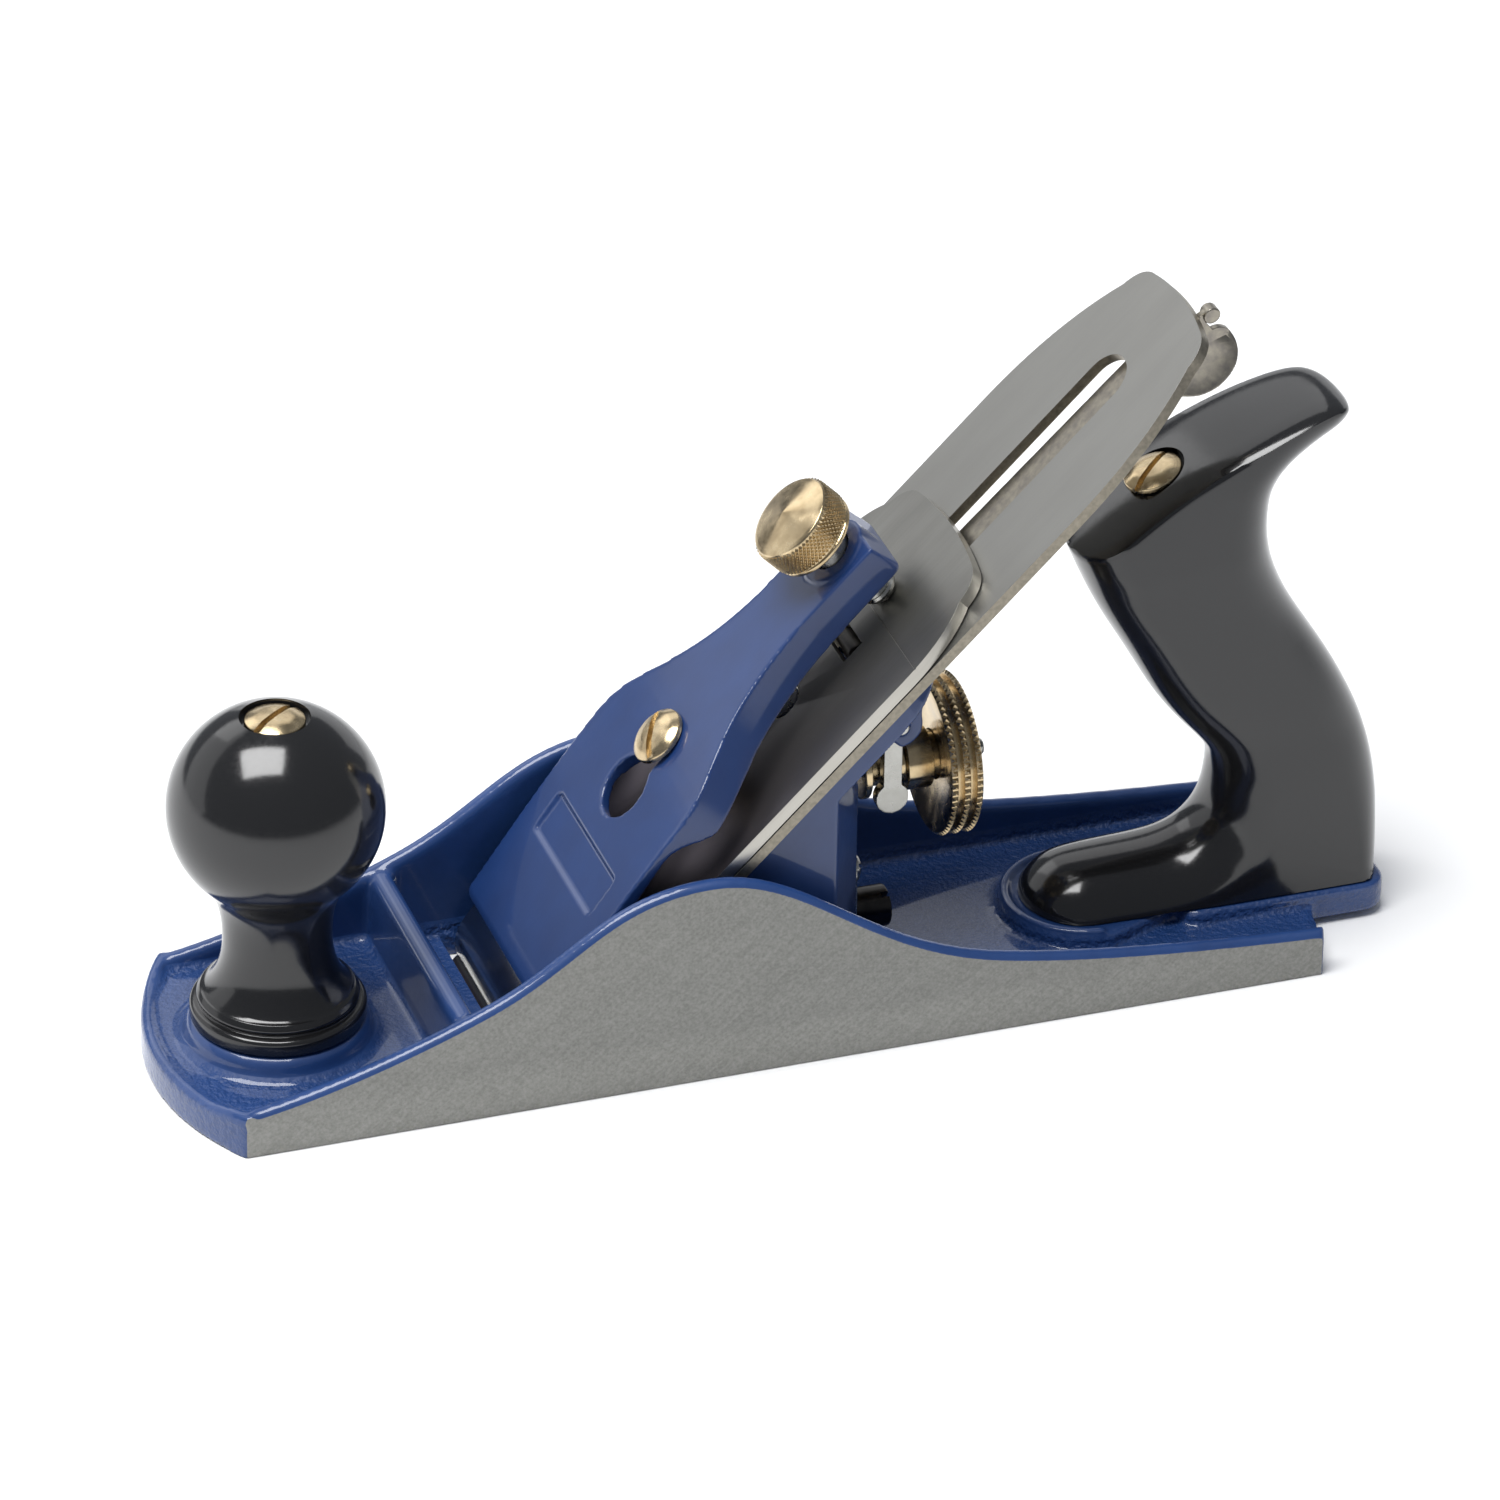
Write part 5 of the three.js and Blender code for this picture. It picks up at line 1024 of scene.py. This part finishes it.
def iron_outline(length, top_width, taper):
    """Outline of an iron: square at its edge, drawn in above the shoulders to a crowned end."""
    half, top, crown = 25, top_width / 2, length - 3.2
    side = [(length - taper, -half)]
    curve(side, (length - 0.55 * taper, -half), end=(crown - 5.5, -top))
    curve(side, (crown, 1 - top), end=(crown + 0.6, 5.5 - top))
    crowned = side[-1:]
    curve(crowned, (length, 0), end=(crown + 0.6, top - 5.5))
    mirrored = [(x, -y) for x, y in reversed(side)]
    return [(0, -half)] + side + crowned[1:-1] + mirrored + [(0, half)]


def stadium(start, end, width, steps=20):
    """Outline of a slot with round ends."""
    radius = width / 2
    points = []
    for middle, first in ((end - radius, -pi / 2), (start + radius, pi / 2)):
        angles = [first + pi * k / steps for k in range(steps + 1)]
        points += [(middle + radius * cos(a), radius * sin(a)) for a in angles]
    return points


def eased(bm, width, segments=2):
    """The solid with every sharp edge broken by a small round."""
    bmesh.ops.dissolve_limit(bm, angle_limit=radians(0.5), verts=bm.verts, edges=bm.edges)
    obj = scratch_object(bm)
    ease = obj.modifiers.new("ease", "BEVEL")
    ease.width = width
    ease.segments = segments
    ease.limit_method = "ANGLE"
    ease.angle_limit = radians(40)
    return baked(obj)


# Surface ground steel: the wheel runs along the plate and leaves close, fine lines, over faint
# darker streaks of the hardening. Painted shade darkens it from its edge up to a length in metres.
def ground_steel(name, dark, light, roughness, shaded_to=0.001):
    material, tree = new_material(name)
    place = add(tree, "ShaderNodeTexCoord").outputs["Object"]
    flat = add(tree, "ShaderNodeMapping", {
        "Vector": place, "Location": bed.translation / 1000, "Rotation": bed.to_euler(),
    }, vector_type="TEXTURE")
    drawn = add(tree, "ShaderNodeMapping", {
        "Vector": flat, "Scale": (1 / 0.02, 1 / 0.0005, 1 / 0.0005),
    })
    lines = add(tree, "ShaderNodeTexNoise", {"Vector": drawn, "Scale": 1.0, "Detail": 3.0})
    bump = add(tree, "ShaderNodeBump", {"Height": lines, "Strength": 0.3, "Distance": 0.000005})
    streaks = add(tree, "ShaderNodeMapping", {
        "Vector": flat, "Scale": (1 / 0.03, 1 / 0.009, 1 / 0.009),
    })
    clouds = add(tree, "ShaderNodeTexNoise", {"Vector": streaks, "Scale": 1.0, "Detail": 5.0})
    both = add(tree, "ShaderNodeMath", {0: lines, 1: 0.25, 2: clouds}, operation="MULTIPLY_ADD")
    tone = add(tree, "ShaderNodeValToRGB", {"Fac": both}, ((0.4, dark), (0.85, light)))
    along = add(tree, "ShaderNodeSeparateXYZ", {"Vector": flat})
    # Painted shade: a dark grey from the edge to half the length, fading out at the length,
    # standing in for the shadow under the lever cap.
    painted_shade = add(tree, "ShaderNodeMapRange", {
        "Value": along.outputs["X"], "From Min": shaded_to / 2, "From Max": shaded_to,
        "To Min": 1.0, "To Max": 0.0,
    })
    shaded_colour = add(tree, "ShaderNodeMix", {"Factor": painted_shade, "A": tone, "B": linear("#6a6469")},
                data_type="RGBA")
    return surface(material, "ShaderNodeBsdfPrincipled", {
        "Base Color": shaded_colour.outputs["Result"], "Metallic": 1.0, "Roughness": roughness,
        "Normal": bump,
    })


# Steel as rolled, pressed or hardened: a warm grey or brown skin, mottled by marks of about a
# millimetre, and rubbed brighter on its high spots.
def skinned_steel(name, mark, detail, stops, roughness):
    material, tree = new_material(name)
    place = add(tree, "ShaderNodeTexCoord").outputs["Object"]
    marks = add(tree, "ShaderNodeTexNoise", {"Vector": place, "Scale": 1 / mark, "Detail": detail})
    bump = add(tree, "ShaderNodeBump", {"Height": marks, "Strength": 0.4, "Distance": 0.00005})
    tone = add(tree, "ShaderNodeValToRGB", {"Fac": marks}, stops)
    return surface(material, "ShaderNodeBsdfPrincipled", {
        "Base Color": tone, "Metallic": 1.0, "Roughness": roughness, "Normal": bump,
    })


# In turn: the blade, the cap iron with painted shade under the lever cap, its edges with a
# painted highlight, its curl polished on a fine stone, and the brown scale that hardening leaves
# on the blade's edges.
blade_steel = ground_steel("surface_ground_tool_steel", "#93928e", "#9a9995", 0.4)
# The cap iron gets painted shade up to 118 mm, where the lever cap covers it.
spring_steel = ground_steel("ground_spring_steel", "#878682", "#979691", 0.42, shaded_to=0.118)
# Painted highlight: a lighter, glossier grey for the cap iron's rounded edges, standing in for the
# bright line that they catch.
painted_highlight_steel = ground_steel("painted_highlight_steel_edge", "#aeaba3", "#bebbb3", 0.36)
polished_steel = ground_steel("polished_steel_curl", "#c6c5c0", "#d8d7d2", 0.2)
scaled_steel = skinned_steel(
    "hardening_scale_on_steel", 0.0009, 4.0, ((0, "#6f6a60"), (1, "#a8a192")), 0.42,
)
iron_thickness = 2.2
bevel_run = iron_thickness / tan(radians(30))
bevel = [(-2, 0.02), (0, 0), (bevel_run, -iron_thickness), (bevel_run, -4), (-2, -4)]
iron_slot = (prism(stadium(48, 179.2, 11.6), -4, 2), rod(18.4, -4, 2, shift(54), 64))
iron = prism(iron_outline(196.6, 35, 44), -iron_thickness, 0)
iron = eased(carved(iron, across(prism(bevel, -30, 30)), *iron_slot), 0.15)
for face in iron.faces:
    middle = face.calc_center_median()
    face.material_index = 1 if abs(face.normal.z) < 0.5 and middle.x > bevel_run else 0
piece("cutting_iron_blade", iron, bed, "irons", "cutting_iron", "tool_steel", blade_steel,
      scaled_steel, crease=15)

hump = 13.6
curl = [(1.6, 0.3)]
curve(curl, (3.28, 4.3), (8.2, 5.2), end=(hump, 5.2))
curve(curl, (hump + 4, 5.2), (hump + 6, 2.8), end=(hump + 11, 2.8))
curl += [(140, 2.8), (140, 0.3), (hump + 11, 0.3)]
curve(curl, (hump + 5.6, 0.3), (hump + 3.6, 3.2), end=(hump, 3.2))
curve(curl, (8.2, 3.2), (4.6, 1.7), end=(2.4, 0.3))
cap_clamp = 86
cap_iron = carved(
    across(prism(curl, -30, 30)), prism(iron_outline(134.6, 40, 27), -1, 12), operation="INTERSECT",
)
cap_iron_slot, yoke_slot = prism(stadium(57.2, 74.2, 10.8), -2, 6), bar(100.3, 105.5, 6, -2, 6)
scribed_line = bar(111, 111.35, 30, 2.68, 4)
cap_iron = eased(carved(
    cap_iron, cap_iron_slot, rod(8.6, -2, 6, shift(cap_clamp)), yoke_slot, scribed_line,
), 0.45, 3)
# The rounded edges take material 1, the painted highlight. The curl takes the polished steel.
for face in cap_iron.faces:
    middle = face.calc_center_bounds()
    on_edge = abs(face.normal.z) < 0.98 and middle.x > hump + 13
    face.material_index = 1 if on_edge else 2 if middle.x < hump - 1.5 else 0
piece("cap_iron_plate", cap_iron, bed, "irons", "cap_iron", "tool_steel", spring_steel,
      painted_highlight_steel, polished_steel, crease=15)
steel_turning("cap_iron_clamp_screw", "cap_iron_screw", "cap_iron_screw", bed @ shift(cap_clamp), [
    (0, -5.7), (8, -5.7, 1.2), (8, -2.5, 0.3), (4, -2.5), (4, 2.7, 0.4), (0, 2.7),
], slot=(1.6, 20, -8, -4.3, pi / 2))

# ---- Lateral lever --------------------------------------------------------------------------
# A pressed steel lever rivets to the frog's back. A disc on its short arm fills the cutting
# iron's slot, and its long arm ends in a curled thumb leaf with a rolled nib.

lever_pivot, disc_at = 121, 113.5
arm = [(disc_at - 4.5 * cos(a), -4.5 * sin(a)) for a in [pi * (k / 20 - 0.5) for k in range(21)]]
arm += [(127, -4.5), (179.4, -4.8), (196.4, -4.8), (196.4, -3.5)]
curve(arm, (185.4, 0), end=(179.4, 3.3))
arm += [(127, 4.5)]
leaf = [(176.4, -2.8)]
curve(leaf, (178.4, -11.8), end=(183.5, -15.2))
curve(leaf, (187.9, -17.6), end=(192.7, -16))
curve(leaf, (196.6, -14.2), end=(196.7, -10.4))
curve(leaf, (196.4, -8.2), end=(194.8, -7.4))
leaf += [(195.2, -2.8)]
nib = rod(3.4, -5.4, -2.6, shift(196.9, 0, -4.5) @ Matrix.Rotation(-pi / 2, 4, "X"))
lever = cast([prism(arm, -4.4, -2.8), across(prism(leaf, 3.2, 4.8)), nib], 0.17, 4, 40000)
lean, curl_start, curl_lean = 0.22, 6.2, 0.44
for vert in lever.verts:
    depth = -4.8 - vert.co.z
    if depth > 0 and vert.co.x > 170:
        vert.co.y += lean * min(depth, curl_start) - curl_lean * max(0, depth - curl_start)
lever = carved(lever, rod(5, -6, 0, shift(lever_pivot), 48))
sheet_steel = skinned_steel(
    "pressed_sheet_steel", 0.0016, 5.0, ((0.3, "#85807a"), (0.7, "#a29c8e")), 0.33,
)
piece("lateral_lever_arm", lever, bed, "lateral_lever", "lateral_lever", "bright_steel",
      sheet_steel)
steel_turning("lateral_lever_disc", "lateral_disc", "lateral_lever", bed @ shift(disc_at), [
    (0, -2.5), (5.4, -2.5, 0.3), (5.4, -0.3, 0.3), (0, -0.3),
])
steel_turning("lateral_lever_rivet", "lateral_rivet", "frog", bed @ shift(lever_pivot), [
    (0, -9), (3.4, -9, 0.8), (3.6, -7.8, 0.2), (2.2, -7.8), (2.2, -2.8, 0.3), (0, -2.8),
])

# ---- Lever cap ------------------------------------------------------------------------------
# The lever cap is a thin iron casting, open below, in smooth blue enamel. A keyhole lets it over
# the brass screw in the frog. The sunk panel across its broad end stays plain.

half_cap, half_neck, cap_start, cap_end = 24.3, 9, 12.8, 122.4
thumb_at = 115


def cap_outline(inset):
    """Outline of the lever cap: parallel sides, then shoulders that draw in to the neck."""
    half, neck = half_cap - inset, half_neck - inset
    low, high, shoulder = cap_start + inset, cap_end - inset, 63.2 - 0.6 * inset
    corner = max(0.4, 2 - inset)
    side = [(low, corner - half)]
    curve(side, (low, -half), end=(low + corner, -half), steps=6)
    side += [(shoulder - 6, -half)]
    curve(side, (shoulder + 8, -half), (shoulder + 10, -neck - 1.5),
          end=(shoulder + 39, -neck), steps=32)
    side += [(high - corner, -neck)]
    curve(side, (high, -neck), end=(high, corner - neck), steps=6)
    return side + [(x, -y) for x, y in reversed(side)]


def cap_back(drop):
    """The humped back of the lever cap in side view, from its lip to its end."""
    points = [(cap_start + x, z - drop) for x, z in ((-1, 8.4), (1.2, 9.6), (18.5, 12.6))]
    curve(points, (cap_start + 34, 15.2 - drop), (59.7, 17 - drop), end=(79.7, 17.8 - drop))
    return points


cap_side = cap_back(0) + [(cap_end - 1, 18.2), (cap_end, 10.1), (63.7, 8.7)]
curve(cap_side, (59.7, 8.5), (57.7, 13.9), end=(51.7, 13.5))
cap_side += [(28.8, 9), (15.8, 5.5), (cap_start - 1, 5.5)]
shell = carved(
    across(prism(cap_side, -half_cap - 2, half_cap + 2)), prism(cap_outline(0), 0, 30),
    operation="INTERSECT",
)
hollow_side = cap_back(3) + [(cap_end + 1, 15.2), (cap_end + 1, 0), (cap_start - 1, 0)]
hollow = carved(
    across(prism(hollow_side, -40, 40)), prism(cap_outline(2.6), -5, 30),
    bar(48.7, 130, 40, -5, 30), operation="INTERSECT",
)
panel = prism(rounded([(-4.5, -17, 1), (4.5, -17, 1), (4.5, 17, 1), (-4.5, 17, 1)]), -0.5, 4)
panel = moved(panel, shift(37.3, 0, 13.4) @ Matrix.Rotation(-0.13, 4, "Y"))
shell = carved(shell, hollow, panel)
shell = carved(shell, rod(13, -5, 40, shift(54), 64), prism(stadium(52, 69.4, 7.4), -5, 40))
thumb_boss = rod(14.4, 10.3, 18.6, shift(thumb_at), 64)
lever_cap = cast([shell, thumb_boss], grain=0.36, passes=4, triangles=70000)
lever_cap = carved(lever_cap, rod(8.6, -5, 40, shift(thumb_at), 48))
# Painted shade: the lever cap's enamel is coloured darker than the body's, though it is the same
# paint, to hold down the light on its broad top.
cap_enamel_painted_darker = stoved_enamel("stoved_enamel_lever_cap_painted_darker", 0.00004, "#112b5a", "#19386e")
piece("lever_cap_casting", lever_cap, bed, "lever_cap", "lever_cap", "enamel", cap_enamel_painted_darker,
      crease=60)
cap_screw_axis = bed @ shift(65.7)
cap_screw = carved(turned([
    (0, -19.5), *threaded(-19.5, 17, 2.4, 2.7), (2.7, -2.2), (3.2, -2.2, 0.1), (3.2, 17.6),
    (5.9, 17.6, 0.2), (5.9, 18.6, 0.6), (4.6, 19.6, 3), (2.4, 20.2, 4), (0, 20.3),
], 96), driver_slot(1.4, 16, 18.9, 24, 0.9))
piece("lever_cap_fixing_screw", cap_screw, cap_screw_axis, "frog", "lever_cap_screw", "brass",
      turned_brass("lever_cap_screw", cap_screw_axis))

# ---- Thumbscrew -----------------------------------------------------------------------------
# A brass thumbscrew through the lever cap's end presses on the cap iron. Its head has a shallow
# turned cone on top and a diamond knurl round the rim.

thumb_axis = bed @ shift(thumb_at)
steel_turning("thumbscrew_thread", "thumbscrew_shank", "thumbscrew_shank", thumb_axis, [
    (0, 3.1), (2.6, 3.1), (3.6, 4.2), *threaded(4.6, 14, 3.7, 4), (3.8, 18.9), (3.8, 26.2),
    (0, 26.2),
])
thumb_brass = turned_brass("thumbscrew", thumb_axis)
head = turned([
    (4.3, 23.2), (8.4, 23.2, 0.2), (9, 23.7, 0.3), (9, 24.3, 0.3), (8.6, 24.6, 0.2), (8.8, 24.7),
    (8.8, 30.6, 0.3), (8.6, 30.9, 0.2), (7.9, 31.1, 0.2), (0.2, 32.8, 0.4), (0, 32.8), (0, 26.5),
    (4.3, 26.5),
], 128)
head = knurled(head, {
    "Metal": thumb_brass, "Teeth": 60, "Rows": 9, "Radius": 8.94, "First Row": 25.2,
    "Row Step": 0.6, "Tooth Width": 0.68, "Tooth Height": 0.88, "Tooth Depth": 0.6,
    "Stagger": pi / 60, "Tooth Turn": 0.0,
})
piece("thumbscrew_knurled_head", head, thumb_axis, "thumbscrew_head", "thumbscrew_head", "brass",
      thumb_brass)
